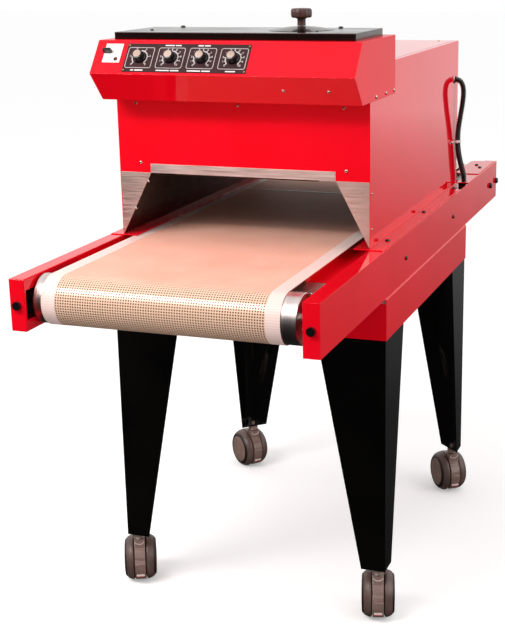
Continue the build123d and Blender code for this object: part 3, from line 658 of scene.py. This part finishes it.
def addTie(points):
    # A cable tie round the hose, with its tail held to the oven's side by a screw
    rise = railTop + hose["tieRise"]
    centre = min(points, key=lambda point: abs(point.z - rise))
    half = hose["tieHeight"] / 2
    wall = hose["tieWall"]
    r = hose["outer"]
    bm = bmesh.new()
    ring = [(r - wall / 2, -half), (r + 0.7 * wall, -half), (r + wall, -0.7 * half), (r + wall, 0.7 * half),
            (r + 0.7 * wall, half), (r - wall / 2, half)]
    spinProfile(bm, ring, Matrix.Translation(centre), 32, True)
    wallX = middleX + ovenSide
    screw = Vector((wallX, ovenRear - hose["tieScrew"], centre.z))
    wide, reach, over = hose["tieHead"]
    tail = 0.7 * half
    addBlock(bm, (centre.x - wide, centre.y - r - reach, centre.z - half - over),
             (centre.x + wide, centre.y - r + 0.5 * mm, centre.z + half + over), 0.6 * mm)
    addBlock(bm, (wallX, screw.y - 4 * mm, centre.z - tail), (wallX + wall, centre.y, centre.z + tail),
             0.3 * mm, 1)
    addBlock(bm, (wallX, centre.y - r - wide, centre.z - tail),
             (centre.x, centre.y - r - wide + wall, centre.z + tail), 0.3 * mm, 1)
    addScrew(bm, screw + Vector((wall, 0, 0)), (1, 0, 0), "small", 1)
    addPiece("conduit_tie", bm, ["tie", "oxide"], smooth=40)


# The belt: an endless strip round both rollers, with film along its edges

belt = {
    "wrapSteps": 40,
    "runSteps": 8,
    "clearance": 0.3 * mm,
    "rim": 0.4 * mm,
    "band": 30 * mm,
    "bandProud": 0.25 * mm,
    "seamY": 607,
    "seamStep": 11 * mm,
    "hook": (7.2 * mm, 7.0 * mm, 1.2 * mm),
    "hookLine": 3 * mm,
}


def beltLoop(radius, grow=0.0):
    # Points of the loop in (y, z) with the length run so far
    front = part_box("infeed_roller")
    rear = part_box("drive_roller")
    centreZ = (front[0].z + front[1].z) / 2
    frontY = (front[0].y + front[1].y) / 2
    rearY = (rear[0].y + rear[1].y) / 2
    r = radius + grow
    loop = []
    for step in range(belt["runSteps"]):
        loop.append((frontY + (rearY - frontY) * step / belt["runSteps"], centreZ + r))
    for step in range(belt["wrapSteps"]):
        angle = math.pi / 2 - math.pi * step / belt["wrapSteps"]
        loop.append((rearY + r * math.cos(angle), centreZ + r * math.sin(angle)))
    for step in range(belt["runSteps"]):
        loop.append((rearY + (frontY - rearY) * step / belt["runSteps"], centreZ - r))
    for step in range(belt["wrapSteps"]):
        angle = -math.pi / 2 - math.pi * step / belt["wrapSteps"]
        loop.append((frontY + r * math.cos(angle), centreZ + r * math.sin(angle)))
    return loop


def loopStrip(name, lowX, highX, loop, thickness, material, replaced=()):
    lengths = [0.0]
    for (y0, z0), (y1, z1) in zip(loop, loop[1:] + loop[:1]):
        lengths.append(lengths[-1] + math.hypot(y1 - y0, z1 - z0))
    bm = bmesh.new()
    layer = bm.loops.layers.uv.new("along")
    # The narrow first and last columns keep the rounding of the rim off the wide flat
    columns = (lowX, lowX + belt["rim"], highX - belt["rim"], highX)
    rows = [[bm.verts.new((x, y, z)) for y, z in loop] for x in columns]
    for index in range(len(loop)):
        after = (index + 1) % len(loop)
        for column in range(len(columns) - 1):
            near, far = rows[column], rows[column + 1]
            face = bm.faces.new((near[index], far[index], far[after], near[after]))
            left, right = columns[column:column + 2]
            places = ((left, index), (right, index), (right, index + 1), (left, index + 1))
            for corner, (x, run) in zip(face.loops, places):
                corner[layer].uv = (x - middleX, lengths[run])
    piece = addPiece(name, bm, material, replaced=replaced, smooth=40)
    wall = piece.modifiers.new("wall", "SOLIDIFY")
    wall.thickness = thickness
    wall.offset = -1
    return piece


def addBelt():
    low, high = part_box("conveyor_belt")
    radius = (high.z - low.z) / 2
    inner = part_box("infeed_roller")[1].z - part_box("infeed_roller")[0].z
    thickness = radius - inner / 2 - belt["clearance"]
    loopStrip("belt_mesh", low.x, high.x, beltLoop(radius), thickness, "belt",
              ("conveyor_belt",))
    proud = belt["bandProud"]
    for side, edge in (("left", low.x), ("right", high.x - belt["band"])):
        loopStrip("belt_edge_" + side, edge, edge + belt["band"], beltLoop(radius, proud), proud,
                  "film")
    # The seam: a row of pale hooks across the belt with a dark joint before them
    bm = bmesh.new()
    first = low.x + belt["band"]
    last = high.x - belt["band"]
    seamY = spot(0, belt["seamY"], 0).y
    wide, long, tall = belt["hook"]
    for index in range(int((last - first) / belt["seamStep"])):
        x = first + (index + 0.5) * belt["seamStep"]
        addBlock(bm, (x - wide / 2, seamY, high.z), (x + wide / 2, seamY + long, high.z + tall), 0.3 * mm, 1)
    addBlock(bm, (first, seamY - belt["hookLine"], high.z), (last, seamY, high.z + 0.15 * mm), 0, 1, None, 1)
    addPiece("belt_seam", bm, ["tie", "darkPartsAndShade"], smooth=30)
    print("belt: done")


# Rollers

rollerLook = {
    "shaft": 10 * mm,
    "chamfer": 1.2 * mm,
    "plugDepth": 6 * mm,
    "boss": (22 * mm, 2 * mm),
    "wall": 4 * mm,
    "steps": 96,
}


def rollerEnd(tubeEnd, shaftEnd, r):
    # Half of the outline from the shaft's tip to the middle, as (radius, place along the axle)
    shaft = rollerLook["shaft"]
    c = rollerLook["chamfer"]
    floor = tubeEnd - rollerLook["plugDepth"]
    bore = r - rollerLook["wall"]
    boss, rise = rollerLook["boss"]
    return [(0, shaftEnd), (shaft - c, shaftEnd), (shaft, shaftEnd - c), (shaft, floor),
            (boss, floor), (boss, floor + rise), (bore, floor + rise),
            (bore, tubeEnd - c), (bore + c / 2, tubeEnd), (r - c, tubeEnd), (r, tubeEnd - c)]


def addRoller(name):
    low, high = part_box(name)
    centre = Vector(((low.x + high.x) / 2, (low.y + high.y) / 2, (low.z + high.z) / 2))
    r = (high.z - low.z) / 2
    drum = [v.co.x for v in nodes[name].data.vertices
            if math.hypot(v.co.y - centre.y, v.co.z - centre.z) > 0.8 * r]
    right = rollerEnd(max(drum) - centre.x, high.x - centre.x, r)
    left = rollerEnd(centre.x - min(drum), centre.x - low.x, r)
    outline = right + [(radius, -height) for radius, height in reversed(left)]
    bm = bmesh.new()
    spinProfile(bm, outline, Matrix.Translation(centre) @ towards((1, 0, 0)), rollerLook["steps"])
    addPiece(name + "_turned", bm, "roller", name, (name,), 30)


# Sheet metal

sheets = {
    "red": (2.2 * mm, ["rail_right", "rail_left", "oven_side_right", "oven_side_left", "oven_infeed_panel",
                       "oven_outfeed_panel", "oven_lid", "apron_right", "apron_left",
                       "apron_front", "apron_rear", "base_flange_right", "base_flange_left", "entry_plate",
                       "drive_cover", "belt_bed"]),
    "console": (2.2 * mm, ["control_console"]),
    "black": (2.2 * mm, ["leg_front_right", "leg_front_left", "leg_rear_right", "leg_rear_left"]),
    "tray": (1.2 * mm, ["damper_tray"]),
    "trim": (0.8 * mm, ["opening_lips"]),
    "plate": (0.8 * mm, ["infeed_end_plates", "outfeed_end_plates"]),
    "reflector": (0.8 * mm, ["reflector_right", "reflector_left"]),
    "knurl": (1.2 * mm, ["nose_plates"]),
    "laminate": (0.3 * mm, ["control_plate"]),
    "acrylic": (0.5 * mm, ["switch_plate"]),
    "white": (1.0 * mm, ["wire_connector"]),
    "ceramic": (1.5 * mm, ["infrared_panels"]),
}
slotOf = {row["node"]: row["material_slot"] for row in frame["record"]["subparts"]}


def addSheets():
    for material, (fold, names) in sheets.items():
        for name in names:
            foldedCopy(name, fold, material)
    print("sheet metal: done")


# Places on the console's sloping face, which leans back from the ridge

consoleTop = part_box("control_console")[1].z
facePlate = {"topReach": 62 * mm, "outward": (0, -0.7913, 0.6115), "plateDrop": 43 * mm, "plateSheet": 1 * mm}


def onFace(x, drop, rise=0.0):
    outward = Vector(facePlate["outward"])
    across = Vector((1, 0, 0))
    upSlope = outward.cross(across)
    origin = Vector((middleX + x, ovenFront - facePlate["topReach"], consoleTop))
    origin += outward * rise - upSlope * drop
    turn = Matrix((across, upSlope, outward)).transposed().to_4x4()
    return Matrix.Translation(origin) @ turn


# Dials

dial = {
    "firstX": -183.05 * mm,
    "spacing": 69.7 * mm,
    "count": 4,
    "ribs": 24,
    "ribDepth": 0.45 * mm,
    "ribRise": (3.9 * mm, 15 * mm),
    "ribFrom": 11 * mm,
    "marks": [((-0.5, 9.2, 16.55), (0.5, 11.2, 16.95)), ((-0.5, 11.6, 2.6), (0.5, 13.0, 3.2))],
    "profile": [(0, 0.4), (13.3, 0.4), (13.5, 1.0), (13.1, 2.6), (12.3, 3.3), (12.1, 4.0), (11.7, 14.6),
                (11.2, 16.0), (9.6, 16.8), (8.9, 16.9), (8.8, 16.2), (0, 16.2)],
    "cap": [(0, 17.1), (6.5, 17.1), (8.2, 17.0), (8.7, 16.6), (8.7, 16.0), (0, 16.0)],
}


def dialPlace(index):
    x = dial["firstX"] + index * dial["spacing"]
    return onFace(x, facePlate["plateDrop"], facePlate["plateSheet"])


def inMillimetres(rows):
    return [tuple(value * mm for value in row) for row in rows]


def addDials():
    for index in range(dial["count"]):
        name = "dial_%d" % (index + 1)
        low, high = dial["ribRise"]
        bm = bmesh.new()
        spinProfile(bm, inMillimetres(dial["profile"]), Matrix(), 2 * dial["ribs"])
        for vert in bm.verts:
            step = round(math.atan2(vert.co.y, vert.co.x) / math.tau * 2 * dial["ribs"])
            across = Vector((vert.co.x, vert.co.y, 0))
            if step % 2 and low < vert.co.z < high and across.length > dial["ribFrom"]:
                vert.co -= across.normalized() * dial["ribDepth"]
        spinProfile(bm, inMillimetres(dial["cap"]), Matrix(), 32, False, 1)
        for mark in dial["marks"]:
            addBlock(bm, *inMillimetres(mark), materialIndex=2)
        bmesh.ops.transform(bm, matrix=dialPlace(index), verts=bm.verts)
        addPiece(name + "_knob", bm, ["abs", "spun", "ink"], name, (name,), 35)
    print("dials: %d" % dial["count"])


# Printing on the control plate

legend = {
    "lift": 0.12 * mm,
    "outline": (60 * mm, 50 * mm),
    "corner": 5 * mm,
    "line": 1.4 * mm,
    "arc": (15.6 * mm, 18.0 * mm),
    "sweep": 135,
    "tick": (1.6 * mm, 2.4 * mm),
    "numberRadius": 22.8 * mm,
    "numberSize": 6.6 * mm,
    "barHeight": 2.8 * mm,
    # dial, rise from its middle, and the lengths of plain bars one after the other, in millimetres
    "bars": [(0, -30.2, (7, 19)), (1, -30.2, (30, 19)), (2, -30.2, (30, 19)), (3, -30.2, (22,)),
             (1, 30.2, (21, 13)), (2, 30.2, (12, 13))],
    "barGap": 2.4,
    "screwInset": (4.0 * mm, 30.0 * mm),
}


def liftFaces(bm, faces, place, materialIndex=0):
    # Gives flat printed shapes a little body and puts them in place
    made = bmesh.ops.extrude_face_region(bm, geom=faces)["geom"]
    top = [v for v in made if isinstance(v, bmesh.types.BMVert)]
    bmesh.ops.translate(bm, vec=(0, 0, legend["lift"]), verts=top)
    shape = set(top) | {v for f in faces for v in f.verts}
    around = {f for v in shape for f in v.link_faces}
    bmesh.ops.recalc_face_normals(bm, faces=list(around))
    for face in around:
        face.material_index = materialIndex
    bmesh.ops.transform(bm, matrix=place, verts=list(shape))


def addOutline(bm, place, size, corner, line, materialIndex):
    verts = bmesh.ops.create_grid(bm, x_segments=1, y_segments=1, size=0.5)["verts"]
    bmesh.ops.scale(bm, vec=(size[0], size[1], 1), verts=verts)
    rounded = bmesh.ops.bevel(bm, geom=verts, offset=corner, offset_type="OFFSET", segments=6, profile=0.5,
                              affect="VERTICES", material=-1)
    face = rounded["verts"][0].link_faces[0]
    ring = bmesh.ops.inset_individual(bm, faces=[face], thickness=line, depth=0)["faces"]
    bmesh.ops.delete(bm, geom=[face], context="FACES_ONLY")
    liftFaces(bm, ring, place, materialIndex)


def addArc(bm, place, radii, sweep, materialIndex):
    ends = [bm.verts.new((0, radius, 0)) for radius in radii]
    bmesh.ops.rotate(bm, cent=(0, 0, 0), matrix=Matrix.Rotation(math.radians(sweep), 3, "Z"), verts=ends)
    edge = bm.edges.new(ends)
    bmesh.ops.spin(bm, geom=ends + [edge], cent=(0, 0, 0), axis=(0, 0, 1), dvec=(0, 0, 0),
                   angle=-2 * math.radians(sweep), steps=30, use_merge=False)
    liftFaces(bm, list(joinedFaces(ends)), place, materialIndex)


def addNumber(bm, text, size, place):
    curve = bpy.data.curves.new("number", "FONT")
    curve.body = text
    curve.size = size
    curve.align_x = "CENTER"
    curve.align_y = "CENTER"
    curve.extrude = legend["lift"] / 2
    curve.resolution_u = 3
    mesh = meshOf(curve)
    mesh.transform(place)
    bm.from_mesh(mesh)
    bpy.data.meshes.remove(mesh)


def addLegends():
    bm = bmesh.new()
    for index in range(dial["count"]):
        place = dialPlace(index)
        addOutline(bm, place, legend["outline"], legend["corner"], legend["line"], 2)
        addArc(bm, place, legend["arc"], legend["sweep"], 1)
        marks = 10 if index else 5
        for mark in range(marks + 1):
            angle = math.radians(legend["sweep"] * (1 - 2 * mark / marks))
            turn = place @ Matrix.Rotation(angle, 4, "Z")
            inner = legend["arc"][1]
            wide, reach = legend["tick"]
            addBlock(bm, (-wide / 2, inner, 0), (wide / 2, inner + reach, legend["lift"]), 0, 1, turn)
            upright = turn @ Matrix.Translation((0, legend["numberRadius"], legend["lift"] / 2))
            addNumber(bm, str(mark), legend["numberSize"], upright @ Matrix.Rotation(-angle, 4, "Z"))
    for index, rise, lengths in legend["bars"]:
        place = dialPlace(index)
        half = legend["barHeight"] / 2
        start = -(sum(lengths) + legend["barGap"] * (len(lengths) - 1)) / 2
        for length in lengths:
            addBlock(bm, (start * mm, rise * mm - half, 0),
                     ((start + length) * mm, rise * mm + half, legend["lift"]), 0, 1, place)
            start += length + legend["barGap"]
    addPiece("control_plate_legends", bm, ["ink", "greyInk", "fineInk"], smooth=0)
    bm = bmesh.new()
    inset, rise = legend["screwInset"]
    plateLow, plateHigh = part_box("control_plate")
    for x in (plateLow.x - middleX + inset, plateHigh.x - middleX - inset):
        for drop in (facePlate["plateDrop"] - rise, facePlate["plateDrop"] + rise):
            place = onFace(x, drop, facePlate["plateSheet"])
            addScrew(bm, place.translation, facePlate["outward"], "plate")
    addPiece("control_plate_screws", bm, ["brass"], smooth=40)
    print("legends: done")


# Switch plate, toggle and pilot lamp

switchLook = {
    "plateX": -248 * mm,
    "plateDrop": 32.5 * mm,
    "band": ((-17, 19.5, 0), (17, 21.1, 0.15)),
    "lampX": -238 * mm,
    "lampDrop": 47 * mm,
    "bezel": [(0, 0), (4.4, 0), (4.4, 0.7), (4.0, 1.0), (3.1, 1.0), (2.9, 0.6), (0, 0.6)],
    "lens": [(0, 0.5), (2.7, 0.5), (2.6, 1.1), (1.9, 1.8), (1.0, 2.15), (0, 2.25)],
}


def addSwitch():
    place = onFace(switchLook["plateX"], switchLook["plateDrop"], facePlate["plateSheet"])
    bm = bmesh.new()
    addBlock(bm, *inMillimetres(switchLook["band"]), place=place)
    addPiece("switch_plate_band", bm, ["lavender"], smooth=0)
    foldedCopy("switch_lever", 1.8 * mm, "abs", 0.8 * mm, "switch_lever", 3 * mm)
    bm = bmesh.new()
    place = onFace(switchLook["lampX"], switchLook["lampDrop"], facePlate["plateSheet"])
    spinProfile(bm, inMillimetres(switchLook["bezel"]), place, 28, False, 1)
    spinProfile(bm, inMillimetres(switchLook["lens"]), place, 28)
    addPiece("pilot_lamp_lens", bm, ["lens", "darkPartsAndShade"], replaced=("pilot_lamp",))
    print("switch: done")


# Damper on the roof of the console

damper = {
    "x": 114 * mm,
    "y": 80 * mm,
    "steps": 96,
    "dome": [(5.3, 7.6), (16, 7.3), (30, 6.2), (44, 4.5), (56, 2.7), (64, 1.5), (68.5, 0.8), (69.9, 0.5),
             (69.9, 0.1), (66, 0.1), (5.3, 0.1)],
    "stem": [(0, 8.6), (9.0, 8.6), (8.9, 12.0), (8.7, 20.5), (9.6, 23.4), (12.5, 24.6)],
    "grip": [(19.5, 25.2), (21.6, 26.6), (22.6, 29.5), (22.9, 34.5), (22.7, 39.5), (21.6, 42.6), (19.0, 44.1),
             (14.5, 44.4), (13.6, 43.9), (0, 43.7)],
    "lobes": 8,
    "lobeDepth": 1.5 * mm,
    "lobesFrom": 17 * mm,
}


def addDamper():
    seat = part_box("damper_tray")[1].z
    place = Matrix.Translation((middleX + damper["x"], ovenFront + damper["y"], seat))
    bm = bmesh.new()
    spinProfile(bm, inMillimetres(damper["dome"]), place, damper["steps"], True)
    addPiece("damper_cap_dome", bm, ["tray"], replaced=("damper_cap",), smooth=30)
    bm = bmesh.new()
    spinProfile(bm, inMillimetres(damper["stem"] + damper["grip"]), Matrix(), damper["steps"])
    for vert in bm.verts:
        across = Vector((vert.co.x, vert.co.y, 0))
        if across.length > damper["lobesFrom"]:
            wave = 0.5 - 0.5 * math.cos(damper["lobes"] * math.atan2(vert.co.y, vert.co.x))
            vert.co -= across.normalized() * damper["lobeDepth"] * wave ** 2
    bmesh.ops.transform(bm, matrix=place, verts=bm.verts)
    addPiece("damper_knob_grip", bm, ["bakelite"], "damper_knob", ("damper_knob",), 40)
    print("damper: done")


# Casters: two tyres and a hood between them, each swivelled its own way

caster = {
    "swivel": {"front_left": 25, "front_right": 16, "rear_left": 50, "rear_right": 36},
    "trail": 25 * mm,
    "axleHeight": 54 * mm,
    "hoodRadius": 55 * mm,
    "stem": (300, 23.5, 776.5),  # out from the middle, and behind the oven's front face at the front and rear
    "steps": 72,
    # radius, place along the axle
    "cover": [(0, 38.4), (14, 38.3), (28, 38.0), (35.6, 37.5), (37.2, 36.9), (37.7, 35.6)],
    "ring": [(37.7, 35.6), (38.4, 36.9), (40.2, 37.4), (43.0, 36.5), (45.2, 34.8), (46.2, 32.8)],
    "tread": [(46.2, 32.8), (47.4, 32.6), (49.8, 29.6), (52.0, 25.4), (53.4, 21.6), (54.0, 18.8),
              (53.4, 16.6), (51.0, 14.6)],
    "inside": [(51.0, 14.6), (46.0, 13.0), (12.0, 12.8), (5.2, 12.8), (5.2, 0)],
    "collar": [(5.2, 116), (14.2, 116), (14.7, 116.7), (14.2, 117.8), (12.9, 118.6), (12.9, 127.0),
               (12.3, 127.6), (5.2, 127.6)],
    "neck": 13 * mm,
    "bow": (11 * mm, 0.8 * mm, 112 * mm),
    "tab": (19.4 * mm, 25.5 * mm, 30.0 * mm),
    "tabLine": 2.0 * mm,
    "tabProud": 2.0 * mm,
    "tabDepth": 6 * mm,
    "tabStep": 0.4 * mm,
}
corners = ("front_left", "front_right", "rear_left", "rear_right")


def casterPlace(corner):
    out, front, rear = caster["stem"]
    x = -out if "left" in corner else out
    y = front if "front" in corner else rear
    turn = Matrix.Rotation(math.radians(caster["swivel"][corner]), 4, "Z")
    return Matrix.Translation(spot(x, y, 0)) @ turn


def addWheels(corner):
    bm = bmesh.new()
    axle = Matrix.Translation((0, caster["trail"], caster["axleHeight"]))
    for way in (1, -1):
        for index, part in enumerate(("cover", "ring", "tread", "inside")):
            place = axle @ towards((way, 0, 0))
            spinProfile(bm, inMillimetres(caster[part]), place, caster["steps"], False, index)
    bmesh.ops.remove_doubles(bm, verts=bm.verts, dist=0.02 * mm)
    bmesh.ops.recalc_face_normals(bm, faces=bm.faces)
    bmesh.ops.transform(bm, matrix=casterPlace(corner), verts=bm.verts)
    # the tyres' inner faces beside the hood take the dark material: painted shade in the gap
    addPiece("caster_tyres_" + corner, bm, ["hub", "darkPartsAndShade", "tread", "darkPartsAndShade"],
             "wheels_" + corner, ("caster_wheels_" + corner,), 30)


def hoodFront(z):  # the hood's front face at this height: flat at the neck, round below it
    rise = z - caster["axleHeight"]
    bulge = math.sqrt(max(caster["hoodRadius"] ** 2 - rise ** 2, 0))
    return min(caster["trail"] - bulge, -caster["neck"])


def addHood(corner):
    body = "swivel_" + corner
    foldedCopy("caster_hood_" + corner, 2.0 * mm, "hood", 0.6 * mm, body, 6 * mm)
    # A pale bow under the collar, and a tab with a red line low on the front
    bm = bmesh.new()
    radius, thick, top = caster["bow"]
    turns = [math.pi * step / 12 for step in range(13)]
    bow = [Vector((radius * math.cos(turn), 0, top - 0.75 * radius * math.sin(turn))) for turn in turns]
    for point in bow:
        point.y = hoodFront(point.z) - 0.2 * mm
    tubeAlong(bm, bow, [thick] * len(bow), 8, (1,))
    wide, low, high = caster["tab"]
    front = hoodFront(high) - caster["tabProud"]
    back = hoodFront(low) + caster["tabDepth"]
    red = low - caster["tabLine"]
    addBlock(bm, (-wide / 2, front, low), (wide / 2, back, high), 0.4 * mm, 2, None, 1)
    step = front + caster["tabStep"]
    addBlock(bm, (-wide / 2, step, red), (wide / 2, back, low + 0.3 * mm), 0.2 * mm, 1, None, 2)
    place = casterPlace(corner)
    bmesh.ops.transform(bm, matrix=place, verts=bm.verts)
    spinProfile(bm, inMillimetres(caster["collar"]), place, 40, True, 0)
    addPiece("caster_fittings_" + corner, bm, ["collar", "tab", "redInk"], body, (), 40)


def addCasters():
    for corner in corners:
        addWheels(corner)
        addHood(corner)
    print("casters: %d" % len(corners))


# Screws, bolts and rivets

def mirroredPair(x, y, z, size, direction):
    return [(x, y, z, size, direction), (-x, y, z, size, (-direction[0], direction[1], direction[2]))]


lowerFace = (0, -0.744, -0.668)
zincScrews = [
    # the front and rear panels of the oven
    *mirroredPair(236.3, -0.1, 1037, "panel", (0, -1, 0)),
    (-242, -0.1, 1167.5, "panel", (0, -1, 0)), (-4, -0.1, 1167.5, "panel", (0, -1, 0)),
    (232, -0.1, 1167.5, "panel", (0, -1, 0)),
    *mirroredPair(236.3, 822.1, 1037, "panel", (0, 1, 0)),
    *mirroredPair(236.3, 822.1, 1200, "panel", (0, 1, 0)),
    # the console's lower face and sides
    (132, -86.3, 1209.3, "panel", lowerFace), (228, -86.3, 1209.3, "panel", lowerFace),
    *mirroredPair(290, 36, 1188, "panel", (1, 0, 0)), *mirroredPair(290, 111, 1188, "panel", (1, 0, 0)),
    *mirroredPair(290, 174, 1188, "panel", (1, 0, 0)),
    # the oven's sides, lid and slanted edges
    *mirroredPair(288, 12, 989, "small", (1, 0, 0)), *mirroredPair(288, 12, 914, "small", (1, 0, 0)),
    *mirroredPair(288, 810, 989, "small", (1, 0, 0)), *mirroredPair(288, 810, 914, "small", (1, 0, 0)),
    *mirroredPair(240, 797, 1251, "panel", (0, 0, 1)),
    (-219.5, -1.0, 996, "small", (0, -1, 0)), (-252.6, -1.0, 934, "small", (0, -1, 0)),
]
darkScrews = [
    *mirroredPair(301, 88, 874, "rail", (0, 0, 1)), *mirroredPair(301, 411, 874, "rail", (0, 0, 1)),
    *mirroredPair(301, 736, 874, "rail", (0, 0, 1)),
    *mirroredPair(320, 172, 818, "rail", (1, 0, 0)), *mirroredPair(320, 646, 818, "rail", (1, 0, 0)),
    (281, 1125, 874, "rail", (0, 0, 1)), (298, 1086, 874, "rail", (0, 0, 1)),
    (-213, 36, 1320, "panel", (0, 0, 1)), (-194, 156, 1320, "rail", (0, 0, 1)),
    (168, 22, 1320, "small", (0, 0, 1)), (178, 152, 1320, "rail", (0, 0, 1)),
]
capScrews = [
    *mirroredPair(303, -427, 818, "cap", (0, -1, 0)), *mirroredPair(303, 1229, 818, "cap", (0, 1, 0)),
    *mirroredPair(320, 1129, 815, "cap", (1, 0, 0)), *mirroredPair(320, 1218, 815, "cap", (1, 0, 0)),
]
capScrew = {
    "dome": [(0, 0), (8.1, 0), (8.4, 0.8), (8.3, 4.2), (7.5, 6.0), (6.0, 6.9), (4.6, 7.0)],
    "socket": 4.0 * mm,
    "socketDepth": 3.4 * mm,
}


def addCapScrew(bm, point, direction):
    # A domed cap head with a six-sided socket
    place = Matrix.Translation(point) @ towards(direction)
    faces = spinProfile(bm, inMillimetres(capScrew["dome"]), place, 30)
    top = place @ Matrix.Translation((0, 0, capScrew["dome"][-1][1] * mm))
    rim = [e for e in {e for f in faces for e in f.edges} if len(e.link_faces) == 1]
    ring = bmesh.ops.create_circle(bm, segments=6, radius=capScrew["socket"], matrix=top)["verts"]
    edges = list({e for v in ring for e in v.link_edges})
    bmesh.ops.bridge_loops(bm, edges=rim + edges)
    down = bmesh.ops.extrude_edge_only(bm, edges=edges)["geom"]
    low = [v for v in down if isinstance(v, bmesh.types.BMVert)]
    bmesh.ops.translate(bm, vec=Vector(direction) * -capScrew["socketDepth"], verts=low)
    bmesh.ops.contextual_create(bm, geom=low)


def addLidSeams():
    # The dark joints between the lid and the folded tops of the sides
    low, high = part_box("oven_lid")
    bm = bmesh.new()
    for x in (low.x, high.x):
        addBlock(bm, (x - 0.6 * mm, low.y, high.z), (x + 0.6 * mm, high.y, high.z + 0.1 * mm), 0, 1)
    addPiece("oven_lid_seams", bm, ["shade"], smooth=0)


def addFasteners():
    for name, rows, material, slot in (("zinc_screws", zincScrews, "zinc", "bright_aluminium"),
                                       ("dark_screws", darkScrews, "oxide", "black_steel")):
        bm = bmesh.new()
        for x, y, z, size, direction in rows:
            addScrew(bm, spot(x, y, z), direction, size)
        addPiece(name, bm, [material], smooth=40)
    bm = bmesh.new()
    for x, y, z, size, direction in capScrews:
        addCapScrew(bm, spot(x, y, z), direction)
    bmesh.ops.recalc_face_normals(bm, faces=bm.faces)
    addPiece("cap_screws", bm, ["oxide"], smooth=40)
    print("fasteners: done")


# Finished scene

addCamera()
addWorld()
addFloor()
for name, values in studio["lamps"].items():
    addSoftbox(name + "Softbox", *values)
addHose()
addBelt()
for rollerName in ("infeed_roller", "drive_roller"):
    addRoller(rollerName)
addSheets()
addDials()
addLegends()
addSwitch()
addDamper()
addCasters()
addLidSeams()
addFasteners()

plain = {
    "red_paint": "red", "black_paint": "black", "belt_mesh": "belt", "roller_metal": "roller",
    "bright_aluminium": "trim", "bearing_iron": "iron", "black_steel": "oxide", "heater_ceramic": "ceramic",
    "black_plastic": "abs", "white_plastic": "acrylic", "lamp_lens": "lens", "knob_plastic": "bakelite",
    "caster_plastic": "hub", "conduit_rubber": "hose",
}
for name, node in nodes.items():
    node.data.materials.clear()
    node.data.materials.append(paint["reflector" if name == "tunnel_ceiling" else plain[slotOf[name]]])

bpy.context.scene.view_settings.view_transform = "Standard"
